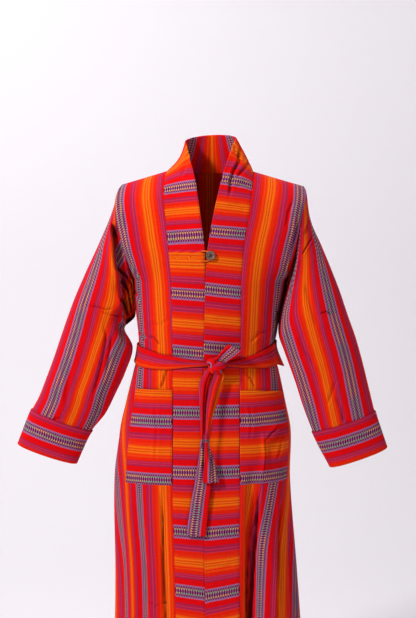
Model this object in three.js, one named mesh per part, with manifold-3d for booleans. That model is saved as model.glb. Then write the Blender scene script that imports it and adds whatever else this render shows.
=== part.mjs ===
// A striped cotton kimono robe in the hollow form it has when worn: back, two fronts, a front band that
// runs up into the collar, sleeves with turned cuffs, two patch pockets, a tied belt, and a button with
// its loop. Millimetres, +Z up, front towards -Y. The origin lies between the shoulders, level with the
// neck points. Sides are the wearer's: left is +X.

import * as THREE from 'three';
import Module from 'manifold-3d';

const wasm = await Module();
wasm.setup();

// ---- driving dimensions ----
const clothWall = 1.6;
const bandWall = 2.4;        // bands, cuffs and belt are doubled cloth
const seamGap = 0.4;         // between two pieces at a seam
const layGap = 0.35;         // between a piece and the cloth it lies on
const ringPower = 2.3;       // 2 would make the body sections ellipses
const sleevePower = 0.93;    // 1 would make the sleeve sections ellipses
const foldGrowth = 2.5;      // a fold is at full depth at 1/foldGrowth of its length
const upperRows = 12;        // grid rows from the underarm to the shoulder
const frontColumns = 10;     // grid columns from band seam to side seam, and along a shoulder
const neckColumns = 10;      // grid columns round the back neckline
const bandColumns = 3;
const cuffLap = 0.12;        // how far a cuff laps over the sleeve, in sleeve sections
const bandGap = 0.8;         // where the two bands meet edge to edge
const backNeckDepth = 64;
const backNeckDrop = 7;
const collarDepth = 63;
const collarRise = 9;
const pocketReach = {        // columns of the front that a pocket covers, at its mouth and at its foot
  left: { mouth: 8, foot: 7.2 },
  right: { mouth: 6, foot: 5.4 },
};

// Levels of the grid rows, hem first. The pockets lie between pocketFoot and pocketMouth.
const pocketFoot = -684;
const pocketMouth = -474;
const levels = [
  -1220, -1110, -1000, -915, -840, -760, pocketFoot, -634, -584, -530, pocketMouth,
  -442, -412, -385, -350, -312, -275, -238,
];

// Body sections: x of the middle, half width, and depth to the front and to the back.
const bodySections = [
  { z: -1220, centre: 0, half: 222, front: 142, back: 142 },
  { z: -1027, centre: -1, half: 214, front: 134, back: 135 },
  { z: -915, centre: -4, half: 209, front: 128, back: 131 },
  { z: -689, centre: -13, half: 200, front: 117, back: 122 },
  { z: -584, centre: -6, half: 194, front: 112, back: 116 },
  { z: -515, centre: -5, half: 180, front: 108, back: 107 },
  { z: -446, centre: -4, half: 164, front: 102, back: 93 },
  { z: -395, centre: -4, half: 152, front: 98, back: 84 },
  { z: -361, centre: -1, half: 156, front: 103, back: 88 },
  { z: -311, centre: 0, half: 162, front: 109, back: 93 },
  { z: -238, centre: 5, half: 171, front: 112, back: 98 },
];

// How far a row sinks at the side seams, where the cloth hangs from the hips.
const rowDrop = [
  { z: -800, left: 0, right: 0 },
  { z: pocketFoot, left: 2, right: 8 },
  { z: pocketMouth, left: 20, right: 10 },
  { z: -412, left: 0, right: 0 },
];

// Folds of the skirt and the back: angle in degrees from the centre front (left is positive) at the
// top and at the bottom of the fold, half width in degrees, and depth (negative is a valley).
const bodyFolds = [
  { top: -660, bottom: -1220, angleTop: 30, angleBottom: 23, width: 8, depth: -17 },
  { top: -690, bottom: -1220, angleTop: 44, angleBottom: 38, width: 9, depth: 7 },
  { top: -700, bottom: -1220, angleTop: 74, angleBottom: 62, width: 9, depth: -10 },
  { top: -690, bottom: -1220, angleTop: -27, angleBottom: -23, width: 6, depth: -6 },
  { top: -640, bottom: -1220, angleTop: -44, angleBottom: -40, width: 9, depth: -11 },
  { top: -720, bottom: -1220, angleTop: -70, angleBottom: -62, width: 9, depth: -8 },
  { top: -430, bottom: -1220, angleTop: 112, angleBottom: 106, width: 11, depth: -11 },
  { top: -440, bottom: -1220, angleTop: 138, angleBottom: 134, width: 10, depth: -13 },
  { top: -450, bottom: -1220, angleTop: 166, angleBottom: 164, width: 9, depth: -10 },
  { top: -436, bottom: -1220, angleTop: -172, angleBottom: -168, width: 9, depth: -12 },
  { top: -440, bottom: -1220, angleTop: -146, angleBottom: -140, width: 11, depth: -14 },
  { top: -450, bottom: -1220, angleTop: -116, angleBottom: -108, width: 10, depth: -10 },
];

// Seam between front and band below the underarm, and the line where the bands meet.
const bandSeams = [
  { z: -1220, left: 70, right: -72, middle: -7 },
  { z: -990, left: 70, right: -72, middle: -6 },
  { z: -773, left: 70, right: -77, middle: -9 },
  { z: -665, left: 71, right: -79, middle: -10 },
  { z: -472, left: 70, right: -78, middle: -10 },
  { z: -334, left: 72, right: -79, middle: -8 },
  { z: -238, left: 73, right: -81, middle: -6 },
];

// The band from the underarm level up to the neck point: its seam with the front, and its free edge.
const bandLeft = [
  { seamX: 77, seamY: -99, seamZ: -174, edgeX: -1, edgeY: -110, edgeZ: -171 },
  { seamX: 81, seamY: -93, seamZ: -141, edgeX: 5, edgeY: -103, edgeZ: -130 },
  { seamX: 88, seamY: -82, seamZ: -102, edgeX: 12, edgeY: -91, edgeZ: -92 },
  { seamX: 94, seamY: -66, seamZ: -59, edgeX: 21, edgeY: -76, edgeZ: -52 },
  { seamX: 99, seamY: -46, seamZ: -28, edgeX: 33, edgeY: -57, edgeZ: -5 },
  { seamX: 101, seamY: -24, seamZ: -6, edgeX: 48, edgeY: -35, edgeZ: 38 },
  { seamX: 101, seamY: 0, seamZ: 2, edgeX: 63, edgeY: -5, edgeZ: 75 },
];
const bandRight = [
  { seamX: -85, seamY: -99, seamZ: -178, edgeX: -7, edgeY: -110, edgeZ: -176 },
  { seamX: -89, seamY: -93, seamZ: -146, edgeX: -11, edgeY: -103, edgeZ: -138 },
  { seamX: -93, seamY: -80, seamZ: -98, edgeX: -18, edgeY: -88, edgeZ: -86 },
  { seamX: -97, seamY: -62, seamZ: -55, edgeX: -24, edgeY: -74, edgeZ: -45 },
  { seamX: -97, seamY: -44, seamZ: -28, edgeX: -31, edgeY: -58, edgeZ: -6 },
  { seamX: -95, seamY: -23, seamZ: -6, edgeX: -42, edgeY: -36, edgeZ: 34 },
  { seamX: -91, seamY: 0, seamZ: 3, edgeX: -51, edgeY: -5, edgeZ: 68 },
];
// How far the band dips between its seam and its free edge: at the neck points and at the centre back.
const bandSag = { left: -1, right: 8, back: 2 };

// Armholes from the underarm to the shoulder tip.
const armholeLeft = [
  { x: 176, z: -240, front: 0, back: 0 },
  { x: 184, z: -220, front: -34, back: 32 },
  { x: 191, z: -186, front: -52, back: 48 },
  { x: 199, z: -139, front: -59, back: 55 },
  { x: 206, z: -98, front: -54, back: 51 },
  { x: 215, z: -62, front: -38, back: 38 },
  { x: 218, z: -42, front: -16, back: 24 },
  { x: 214, z: -31, front: 6, back: 6 },
];
const armholeRight = [
  { x: -166, z: -240, front: 0, back: 0 },
  { x: -171, z: -218, front: -34, back: 32 },
  { x: -182, z: -184, front: -52, back: 48 },
  { x: -194, z: -140, front: -59, back: 55 },
  { x: -203, z: -98, front: -52, back: 51 },
  { x: -205, z: -62, front: -36, back: 38 },
  { x: -200, z: -39, front: -14, back: 24 },
  { x: -192, z: -27, front: 6, back: 6 },
];

// Centre back from the underarm level up to the neckline.
const centreBack = [
  { y: 101, z: -185 },
  { y: 100, z: -130 },
  { y: 92, z: -72 },
  { y: 78, z: -28 },
];

// Sleeve sections from the armhole down: the outer and the inner edge seen from the front, half depth
// from front to back, and y of the middle. The last two are the cuff's.
const sleeveLeft = [
  { outX: 230, outZ: -110, inX: 176, inZ: -266, depth: 60, y: -4 },
  { outX: 253, outZ: -163, inX: 169.5, inZ: -297, depth: 58, y: -11 },
  { outX: 273, outZ: -211, inX: 164, inZ: -330, depth: 54, y: -20 },
  { outX: 293, outZ: -262, inX: 160, inZ: -362, depth: 51, y: -27 },
  { outX: 311, outZ: -315, inX: 170, inZ: -397, depth: 49, y: -31 },
  { outX: 330, outZ: -368, inX: 182, inZ: -430, depth: 46, y: -33 },
  { outX: 345, outZ: -420, inX: 196, inZ: -469, depth: 43, y: -34 },
  { outX: 359, outZ: -475, inX: 212, inZ: -519, depth: 39, y: -35 },
  { outX: 376, outZ: -541, inX: 239, inZ: -588, depth: 34, y: -36 },
  { outX: 401, outZ: -615, inX: 276, inZ: -659, depth: 30, y: -37 },
];
const sleeveRight = [
  { outX: -217, outZ: -97, inX: -168.5, inZ: -266, depth: 60, y: -3 },
  { outX: -244, outZ: -160, inX: -167.5, inZ: -294, depth: 58, y: -7 },
  { outX: -271, outZ: -218, inX: -168, inZ: -322, depth: 55, y: -11 },
  { outX: -299, outZ: -282, inX: -187, inZ: -348, depth: 52, y: -15 },
  { outX: -324, outZ: -350, inX: -169, inZ: -391, depth: 50, y: -18 },
  { outX: -346, outZ: -414, inX: -185, inZ: -446, depth: 48, y: -20 },
  { outX: -366, outZ: -467, inX: -209, inZ: -498, depth: 46, y: -22 },
  { outX: -380, outZ: -502, inX: -231, inZ: -541, depth: 40, y: -24 },
  { outX: -398, outZ: -536, inX: -266, inZ: -585, depth: 34, y: -26 },
  { outX: -427, outZ: -609, inX: -298, inZ: -653, depth: 30, y: -28 },
];

// Sleeve folds: sections where they start and end, degrees round the sleeve there (0 is the outer
// edge, 90 the front, 180 the inner edge), half width in degrees, and depth.
const sleeveFoldsLeft = [
  { from: 0.6, to: 3.6, start: 150, end: 112, width: 24, depth: -9 },
  { from: 3.4, to: 7, start: 250, end: 215, width: 26, depth: -8 },
  { from: 6.4, to: 9.6, start: 118, end: 140, width: 26, depth: -7 },
];
const sleeveFoldsRight = [
  { from: 0.7, to: 4.6, start: 82, end: 168, width: 26, depth: -19 },
  { from: 3.2, to: 6.6, start: 246, end: 208, width: 26, depth: -9 },
  { from: 5.4, to: 8.8, start: 66, end: 108, width: 24, depth: -6 },
];

// Belt round the waist: angle in degrees from the centre front, its two edges, and how far the lower
// edge flares out where it lies on the hips.
const beltRing = [
  { angle: -180, top: -386, bottom: -423, flare: 0 },
  { angle: -90, top: -391, bottom: -434, flare: 1 },
  { angle: -60, top: -394, bottom: -434, flare: 0 },
  { angle: -35, top: -400, bottom: -436, flare: 0 },
  { angle: -15, top: -405, bottom: -435, flare: 0 },
  { angle: 3, top: -411, bottom: -429, flare: 0 },
  { angle: 26, top: -405, bottom: -428, flare: 0 },
  { angle: 50, top: -396, bottom: -430, flare: 0 },
  { angle: 76, top: -389, bottom: -430, flare: 1 },
  { angle: 92, top: -386, bottom: -436, flare: 11 },
  { angle: 125, top: -386, bottom: -430, flare: 6 },
  { angle: 180, top: -386, bottom: -423, flare: 0 },
];
const beltColumns = 56;
const beltRows = 3;
const beltLift = 2.1;         // from the body's surface to the belt's inner face
const beltCrown = 1.2;

const knotCentre = { x: 16, y: -116, z: -417 };
const knotHalf = { x: 17.5, y: 13, z: 17 };
const knotRidge = { height: 0.07, turn: 1.2 };   // share of the half widths, and radians
const knotPower = 0.8;

// The loop of the half bow, one row a fold station: its two edges seen from the front, and y.
const bowRows = [
  { leftX: 15, leftZ: -412, rightX: 29, rightZ: -418, y: -119 },
  { leftX: 24, leftZ: -397, rightX: 44, rightZ: -405, y: -125 },
  { leftX: 34, leftZ: -383, rightX: 59, rightZ: -396, y: -126 },
  { leftX: 43, leftZ: -374, rightX: 71, rightZ: -388, y: -123 },
  { leftX: 45, leftZ: -371.5, rightX: 73.5, rightZ: -386, y: -118 },
  { leftX: 43, leftZ: -374, rightX: 71, rightZ: -389, y: -113 },
  { leftX: 33, leftZ: -385, rightX: 57, rightZ: -397, y: -110 },
  { leftX: 15, leftZ: -412, rightX: 29, rightZ: -418, y: -109 },
];

// Belt ends: the two edges seen from the front, and how far each stands in front of the body.
const tailLong = [
  { z: -424, left: 0, right: 14, leftOut: 12, rightOut: 13 },
  { z: -448, left: -10, right: 6, leftOut: 9, rightOut: 14 },
  { z: -469, left: -16, right: 2, leftOut: 7, rightOut: 15 },
  { z: -502, left: -21, right: -3, leftOut: 6, rightOut: 15 },
  { z: -540, left: -20, right: -7, leftOut: 5, rightOut: 14 },
  { z: -575, left: -18, right: -8, leftOut: 5, rightOut: 14 },
  { z: -612, left: -18, right: -2, leftOut: 5, rightOut: 12 },
  { z: -650, left: -22, right: 3, leftOut: 5, rightOut: 8 },
  { z: -689, left: -31, right: 5, leftOut: 5, rightOut: 6 },
  { z: -731, left: -40, right: -1, leftOut: 5, rightOut: 5 },
  { z: -790, left: -46, right: -9, leftOut: 5, rightOut: 5 },
];
const tailShort = [
  { z: -424, left: 14, right: 25, leftOut: 17, rightOut: 15 },
  { z: -449, left: 16, right: 33, leftOut: 21, rightOut: 11 },
  { z: -476, left: 7, right: 26, leftOut: 24, rightOut: 14 },
  { z: -512, left: -6, right: 11, leftOut: 26, rightOut: 18 },
  { z: -544, left: -5, right: 4, leftOut: 28, rightOut: 18 },
  { z: -572, left: -6, right: 2, leftOut: 28, rightOut: 18 },
  { z: -600, left: -7, right: 4, leftOut: 26, rightOut: 16 },
  { z: -627, left: -7, right: 14, leftOut: 22, rightOut: 14 },
  { z: -672, left: -10, right: 23, leftOut: 17, rightOut: 13 },
];
const tailSteps = 16;
const bowSteps = 18;
const tailColumns = 3;
const tailBow = 2;            // crown of a belt end across its width

const buttonAt = { x: 5.5, z: -177 };
const buttonTilt = 6;         // degrees
const buttonProfile = [
  { radius: 0, height: 0 }, { radius: 2, height: 0 }, { radius: 2, height: 4.6 },
  { radius: 8.6, height: 4.6 }, { radius: 10, height: 5.8 }, { radius: 9.7, height: 7 },
  { radius: 8.6, height: 7.7 }, { radius: 7, height: 7 }, { radius: 0, height: 6.8 },
];
const loopRadius = 1.8;
const loopClearance = 0.6;    // between the loop and the bands
const loopRoute = [
  { x: -15, z: -168 }, { x: -8, z: -167.5 }, { x: 2, z: -169.5 }, { x: 10, z: -173 },
  { x: 12.6, z: -178.5 },
  { x: 10, z: -184 }, { x: 2, z: -187.5 }, { x: -8, z: -189.5 }, { x: -15, z: -189 },
];

const colours = { cloth: '#c8201c', band: '#cf3418', belt: '#c01f22', button: '#4a3d38' };

// ---- reading tables ----
const degrees = Math.PI / 180;
const lerp = (a, b, t) => a + (b - a) * t;
const clamp = (t) => Math.min(1, Math.max(0, t));
const ease = (t) => clamp(t) ** 2 * (3 - 2 * clamp(t));
const vector = (x, y, z) => new THREE.Vector3(x, y, z);

// Smooth reading between the rows of a table, never beyond the values of the two rows.
function read(rows, by, key, value) {
  let k = 0;
  while (k < rows.length - 2 && value > rows[k + 1][by]) k++;
  const slope = (i) => {
    const before = i > 0 ? (rows[i][key] - rows[i - 1][key]) / (rows[i][by] - rows[i - 1][by]) : null;
    const after = i < rows.length - 1
      ? (rows[i + 1][key] - rows[i][key]) / (rows[i + 1][by] - rows[i][by]) : null;
    if (before === null || after === null) return before ?? after;
    return before * after > 0 ? (2 * before * after) / (before + after) : 0;
  };
  const span = rows[k + 1][by] - rows[k][by];
  const t = clamp((value - rows[k][by]) / span);
  const a = 2 * t ** 3 - 3 * t ** 2 + 1;
  return a * rows[k][key] + (1 - a) * rows[k + 1][key]
    + (t ** 3 - 2 * t ** 2 + t) * span * slope(k) + (t ** 3 - t ** 2) * span * slope(k + 1);
}

function spaced(points, count) {
  return new THREE.CatmullRomCurve3(points, false, 'centripetal').getSpacedPoints(count);
}

// ---- the surface of the body ----
function foldHeight(angle, z) {
  let height = 0;
  for (const fold of bodyFolds) {
    const down = (fold.top - z) / (fold.top - fold.bottom);
    if (down <= 0) continue;
    const middle = lerp(fold.angleTop, fold.angleBottom, down) * degrees;
    const apart = Math.abs(Math.atan2(Math.sin(angle - middle), Math.cos(angle - middle)));
    const across = apart / (fold.width * degrees);
    if (across < 1) height += fold.depth * ease(down * foldGrowth) * (0.5 + 0.5 * Math.cos(Math.PI * across));
  }
  return height;
}

function bodyPoint(angle, z, lift = 0) {
  const sine = Math.sin(angle);
  const cosine = Math.cos(angle);
  const x = read(bodySections, 'z', 'half', z) * Math.sign(sine) * Math.abs(sine) ** (2 / ringPower);
  const depth = cosine > 0 ? -read(bodySections, 'z', 'front', z) : read(bodySections, 'z', 'back', z);
  const y = depth * Math.abs(cosine) ** (2 / ringPower);
  const grow = 1 + (foldHeight(angle, z) + lift) / Math.hypot(x, y);
  return vector(read(bodySections, 'z', 'centre', z) + x * grow, y * grow, z);
}

function angleAt(x, z) {
  const share = (x - read(bodySections, 'z', 'centre', z)) / read(bodySections, 'z', 'half', z);
  return Math.asin(Math.sign(share) * Math.abs(share) ** (ringPower / 2));
}

function rowPoint(angle, level) {
  const side = Math.sin(angle) > 0 ? 'left' : 'right';
  const drop = read(rowDrop, 'z', side, level) * (1 - Math.abs(Math.cos(angle)));
  return bodyPoint(angle, level - drop);
}

const steps = (count) => Array.from({ length: count + 1 }, (_, k) => k / count);

// Rows above the underarm: a patch between the underarm ring and the shoulder line, bent so that the
// given columns follow their guide curves.
function upperPatch(bottom, top, guides) {
  const line = (column, s) => bottom[column].clone().lerp(top[column], s);
  return steps(upperRows).slice(1).map((s, row) => bottom.map((_, column) => {
    let k = 0;
    while (k < guides.length - 2 && column > guides[k + 1].column) k++;
    const near = guides[k];
    const far = guides[k + 1];
    const share = ease((column - near.column) / (far.column - near.column));
    const point = line(column, s);
    point.addScaledVector(near.points[row + 1].clone().sub(line(near.column, s)), 1 - share);
    point.addScaledVector(far.points[row + 1].clone().sub(line(far.column, s)), share);
    return point;
  }));
}

// ---- outlines shared by neighbouring pieces ----
const sides = { left: 1, right: -1 };
const bandTables = { left: bandLeft, right: bandRight };
const armholeTables = { left: armholeLeft, right: armholeRight };
const sleeveTables = { left: sleeveLeft, right: sleeveRight };
const sleeveFolds = { left: sleeveFoldsLeft, right: sleeveFoldsRight };
const underarm = levels[levels.length - 1];

const seamAngle = (side, z) => angleAt(read(bandSeams, 'z', side, z), z);
const edgeAngle = (side, z) => angleAt(read(bandSeams, 'z', 'middle', z) + (sides[side] * bandGap) / 2, z);

function seamCurve(side) {
  const points = bandTables[side].map((row) => vector(row.seamX, row.seamY, row.seamZ));
  return spaced([rowPoint(seamAngle(side, underarm), underarm), ...points], upperRows);
}

function edgeCurve(side) {
  const points = bandTables[side].map((row) => vector(row.edgeX, row.edgeY, row.edgeZ));
  return spaced([rowPoint(edgeAngle(side, underarm), underarm), ...points], upperRows);
}

// The underarm end of an armhole is the side seam's top.
function armholeCurve(side, face) {
  const points = armholeTables[side].map((row) => vector(row.x, row[face], row.z));
  points[0] = rowPoint(sides[side] * 90 * degrees, underarm);
  return spaced(points, upperRows);
}

function shoulderLine(side) {
  const neck = seamCurve(side)[upperRows];
  const tip = armholeCurve(side, 'front')[upperRows];
  return steps(frontColumns).map((t) => neck.clone().lerp(tip, t));
}

const neckLeft = seamCurve('left')[upperRows];
const neckRight = seamCurve('right')[upperRows];

// A half round from the right neck point to the left one, and the collar's edge over it.
function neckArc(start, end, depth, rise) {
  return steps(neckColumns).map((t) => {
    const turn = Math.PI * t;
    const point = start.clone().lerp(end, 0.5 - 0.5 * Math.cos(turn));
    return point.add(vector(0, depth * Math.sin(turn), rise * Math.sin(turn)));
  });
}
const neckline = neckArc(neckRight, neckLeft, backNeckDepth, -backNeckDrop);
const collarEdge = neckArc(
  edgeCurve('right')[upperRows], edgeCurve('left')[upperRows], collarDepth, collarRise,
);

// ---- grids of outer points, rows from the hem up or from the armhole down ----
function frontGrid(side) {
  const lower = levels.map((level) => steps(frontColumns).map(
    (t) => rowPoint(lerp(seamAngle(side, level), sides[side] * 90 * degrees, t), level),
  ));
  const guides = [
    { column: 0, points: seamCurve(side) },
    { column: frontColumns, points: armholeCurve(side, 'front') },
  ];
  return [...lower, ...upperPatch(lower[lower.length - 1], shoulderLine(side), guides)];
}

function backGrid() {
  const shoulderAngle = 61;      // degrees from the side seam to the neck point's column
  const turns = [
    ...steps(frontColumns).map((t) => -90 - shoulderAngle * t),
    ...steps(neckColumns).slice(1).map((t) => lerp(-90 - shoulderAngle, -270 + shoulderAngle, t)),
    ...steps(frontColumns).slice(1).map((t) => -270 + shoulderAngle * (1 - t)),
  ];
  const lower = levels.map((level) => turns.map((turn) => rowPoint(turn * degrees, level)));
  const top = [
    ...shoulderLine('right').reverse(), ...neckline.slice(1), ...shoulderLine('left').slice(1),
  ];
  const bottom = lower[lower.length - 1];
  const middle = frontColumns + neckColumns / 2;
  const spine = centreBack.map((row) => vector(lerp(bottom[middle].x, top[middle].x, 0.5), row.y, row.z));
  const guides = [
    { column: 0, points: armholeCurve('right', 'back') },
    { column: middle, points: spaced([bottom[middle], ...spine, top[middle]], upperRows) },
    { column: turns.length - 1, points: armholeCurve('left', 'back') },
  ];
  return [...lower, ...upperPatch(bottom, top, guides)];
}

function bandGrid(side) {
  const rows = levels.map((level) => steps(bandColumns).map(
    (t) => rowPoint(lerp(seamAngle(side, level), edgeAngle(side, level), t), level),
  ));
  const underarmRow = rows[rows.length - 1];
  const first = underarmRow[0];
  const last = underarmRow[bandColumns];
  const halfNeck = neckColumns / 2;
  const order = (arc) => (side === 'right' ? arc : [...arc].reverse()).slice(1, halfNeck + 2);
  const seam = [...seamCurve(side), ...order(neckline)];
  const edge = [...edgeCurve(side), ...order(collarEdge)];
  for (let k = 1; k <= upperRows + halfNeck; k++) {
    const fade = Math.max(0, 1 - k / upperRows);
    const past = clamp((k - upperRows) / halfNeck);
    const dip = lerp(bandSag[side] * ease(k / upperRows), bandSag.back, past);
    const along = seam[k + 1].clone().sub(seam[k - 1]);
    const inward = edge[k].clone().sub(seam[k]).cross(along).normalize().multiplyScalar(sides[side]);
    rows.push(steps(bandColumns).map((t, column) => {
      const flat = first.clone().lerp(last, t);
      const spot = seam[k].clone().lerp(edge[k], t);
      spot.addScaledVector(underarmRow[column].clone().sub(flat), fade);
      return spot.addScaledVector(inward, dip * Math.sin(Math.PI * t));
    }));
  }
  return rows;
}

// A point of a sleeve: share of the way round, and section counted from the armhole.
function sleeveSurface(side) {
  const table = sleeveTables[side];
  const around = 2 * upperRows;
  const front = armholeCurve(side, 'front').reverse();
  const back = armholeCurve(side, 'back');
  const ring = [...front, ...back.slice(1, -1)];
  const strands = ring.map((start, column) => {
    const turn = (2 * Math.PI * column) / around;
    const bend = (wave) => Math.sign(wave) * Math.abs(wave) ** sleevePower;
    const points = table.map((row, section) => {
      const middle = vector((row.outX + row.inX) / 2, row.y, (row.outZ + row.inZ) / 2);
      const half = vector((row.outX - row.inX) / 2, 0, (row.outZ - row.inZ) / 2);
      const offset = half.multiplyScalar(bend(Math.cos(turn)));
      offset.y = -row.depth * bend(Math.sin(turn));
      let fall = 0;
      for (const fold of sleeveFolds[side]) {
        const along = (section + 1 - fold.from) / (fold.to - fold.from);
        if (along <= 0 || along >= 1) continue;
        const apart = Math.abs(turn / degrees - lerp(fold.start, fold.end, along)) / fold.width;
        if (apart >= 1) continue;
        fall += fold.depth * Math.sin(Math.PI * along) * (0.5 + 0.5 * Math.cos(Math.PI * apart));
      }
      return middle.add(offset.multiplyScalar(1 + fall / offset.length()));
    });
    return new THREE.CatmullRomCurve3([start, ...points], false, 'centripetal');
  });
  return (column, section) => strands[column].getPoint(section / table.length);
}

function sleeveGrid(side, sections) {
  const at = sleeveSurface(side);
  return sections.map((section) => Array.from({ length: 2 * upperRows }, (_, column) => at(column, section)));
}

// ---- walls ----
// A piece is a grid of outer points with the direction of its outside: turn is 1 when columns cross
// rows towards the outside.
function piece(name, grid, turn, wall, options = {}) {
  return { name, grid, turn, wall, round: false, inset: seamGap / 2, ...options };
}

function setNormals(item) {
  const { grid, turn, round } = item;
  const rows = grid.length;
  const columns = grid[0].length;
  item.normals = grid.map((row, i) => row.map((_, j) => {
    const up = grid[Math.min(i + 1, rows - 1)];
    const down = grid[Math.max(i - 1, 0)];
    const next = round ? (j + 1) % columns : Math.min(j + 1, columns - 1);
    const last = round ? (j - 1 + columns) % columns : Math.max(j - 1, 0);
    const across = row[next].clone().sub(row[last]);
    return across.cross(up[j].clone().sub(down[j])).normalize().multiplyScalar(turn);
  }));
}

// Where pieces share a seam point, their walls lean the same way, so that the edges stay parallel.
function shareSeamNormals(items) {
  const shared = new Map();
  for (const item of items) {
    item.grid.forEach((row, i) => row.forEach((point, j) => {
      const key = [point.x, point.y, point.z].map((value) => Math.round(value * 20)).join();
      if (!shared.has(key)) shared.set(key, []);
      shared.get(key).push({ item, i, j, normal: item.normals[i][j].clone() });
    }));
  }
  for (const group of shared.values()) {
    for (const one of group) {
      const sum = vector(0, 0, 0);
      for (const other of group) if (other.normal.dot(one.normal) > 0.25) sum.add(other.normal);
      one.item.normals[one.i][one.j] = sum.normalize();
    }
  }
}

// The outer points drawn back from the piece's edges by half the seam gap.
function insetGrid({ grid, round, inset }) {
  const rows = grid.length;
  const columns = grid[0].length;
  return grid.map((row, i) => row.map((point, j) => {
    const moved = point.clone();
    const pull = (towards) => moved.addScaledVector(towards.clone().sub(point).normalize(), inset);
    if (i === 0) pull(grid[1][j]);
    if (i === rows - 1) pull(grid[rows - 2][j]);
    if (!round && j === 0) pull(row[1]);
    if (!round && j === columns - 1) pull(row[columns - 2]);
    return moved;
  }));
}

// A closed wall between two layers of points.
function wallGeometry(outer, inner, turn, round) {
  const rows = outer.length;
  const columns = outer[0].length;
  const positions = [...outer, ...inner].flat().flatMap((point) => [point.x, point.y, point.z]);
  const index = [];
  const spot = (layer, i, j) => (layer * rows + i) * columns + (j % columns);
  const quad = (a, b, c, d) => index.push(...(turn > 0 ? [a, b, c, a, c, d] : [a, c, b, a, d, c]));
  const across = round ? columns : columns - 1;
  for (let i = 0; i < rows - 1; i++) {
    for (let j = 0; j < across; j++) {
      quad(spot(0, i, j), spot(0, i, j + 1), spot(0, i + 1, j + 1), spot(0, i + 1, j));
      quad(spot(1, i, j), spot(1, i + 1, j), spot(1, i + 1, j + 1), spot(1, i, j + 1));
    }
    if (!round) {
      const end = columns - 1;
      quad(spot(0, i, 0), spot(0, i + 1, 0), spot(1, i + 1, 0), spot(1, i, 0));
      quad(spot(0, i, end), spot(1, i, end), spot(1, i + 1, end), spot(0, i + 1, end));
    }
  }
  for (let j = 0; j < across; j++) {
    const end = rows - 1;
    quad(spot(0, 0, j), spot(1, 0, j), spot(1, 0, j + 1), spot(0, 0, j + 1));
    quad(spot(0, end, j), spot(0, end, j + 1), spot(1, end, j + 1), spot(1, end, j));
  }
  const geometry = new THREE.BufferGeometry();
  geometry.setAttribute('position', new THREE.Float32BufferAttribute(positions, 3));
  geometry.setIndex(index);
  return geometry;
}

function layer(points, normals, lift) {
  return points.map((row, i) => row.map((point, j) => point.clone().addScaledVector(normals[i][j], lift)));
}

function wallOf(item) {
  const outer = layer(insetGrid(item), item.normals, item.lift ?? 0);
  return wallGeometry(outer, layer(outer, item.normals, -item.wall), item.turn, item.round);
}

// A pocket: part of the front's grid from its mouth to its foot, moved out. Its last column lies
// between two of the front's.
function pocketOn(item, name, reach) {
  const first = levels.indexOf(pocketFoot);
  const last = levels.indexOf(pocketMouth);
  const cut = (table) => table.slice(first, last + 1).map((row, k) => {
    const edge = lerp(reach.foot, reach.mouth, k / (last - first));
    const whole = Math.floor(reach.foot);
    return [...row.slice(0, whole + 1), row[whole].clone().lerp(row[whole + 1], edge - whole)];
  });
  return {
    ...item, name, grid: cut(item.grid), normals: cut(item.normals), lift: layGap + item.wall,
  };
}

// ---- joins and cuts ----
function solidOf(geometry) {
  const mesh = new wasm.Mesh({
    numProp: 3,
    vertProperties: Float32Array.from(geometry.getAttribute('position').array),
    triVerts: Uint32Array.from(geometry.index.array),
  });
  return new wasm.Manifold(mesh);
}

// The largest body of what a cut leaves.
function geometryOf(cut) {
  const [solid] = cut.decompose().sort((a, b) => b.volume() - a.volume());
  const mesh = solid.getMesh();
  const geometry = new THREE.BufferGeometry();
  geometry.setAttribute('position', new THREE.Float32BufferAttribute(mesh.vertProperties, 3));
  geometry.setIndex(new THREE.BufferAttribute(mesh.triVerts, 1));
  return geometry;
}

// ---- belt ----
function beltGrid(lift) {
  return steps(beltRows).map((t) => Array.from({ length: beltColumns }, (_, column) => {
    const angle = -180 + (360 * column) / beltColumns;
    const z = lerp(read(beltRing, 'angle', 'bottom', angle), read(beltRing, 'angle', 'top', angle), t);
    const flare = read(beltRing, 'angle', 'flare', angle) * (1 - t);
    return bodyPoint(angle * degrees, z, lift + flare + beltCrown * Math.sin(Math.PI * t));
  }));
}

function beltWall(name, clearance) {
  const outer = beltGrid(beltLift + bandWall + clearance);
  const inner = beltGrid(beltLift - clearance);
  return { name, geometry: wallGeometry(outer, inner, 1, true) };
}

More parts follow.
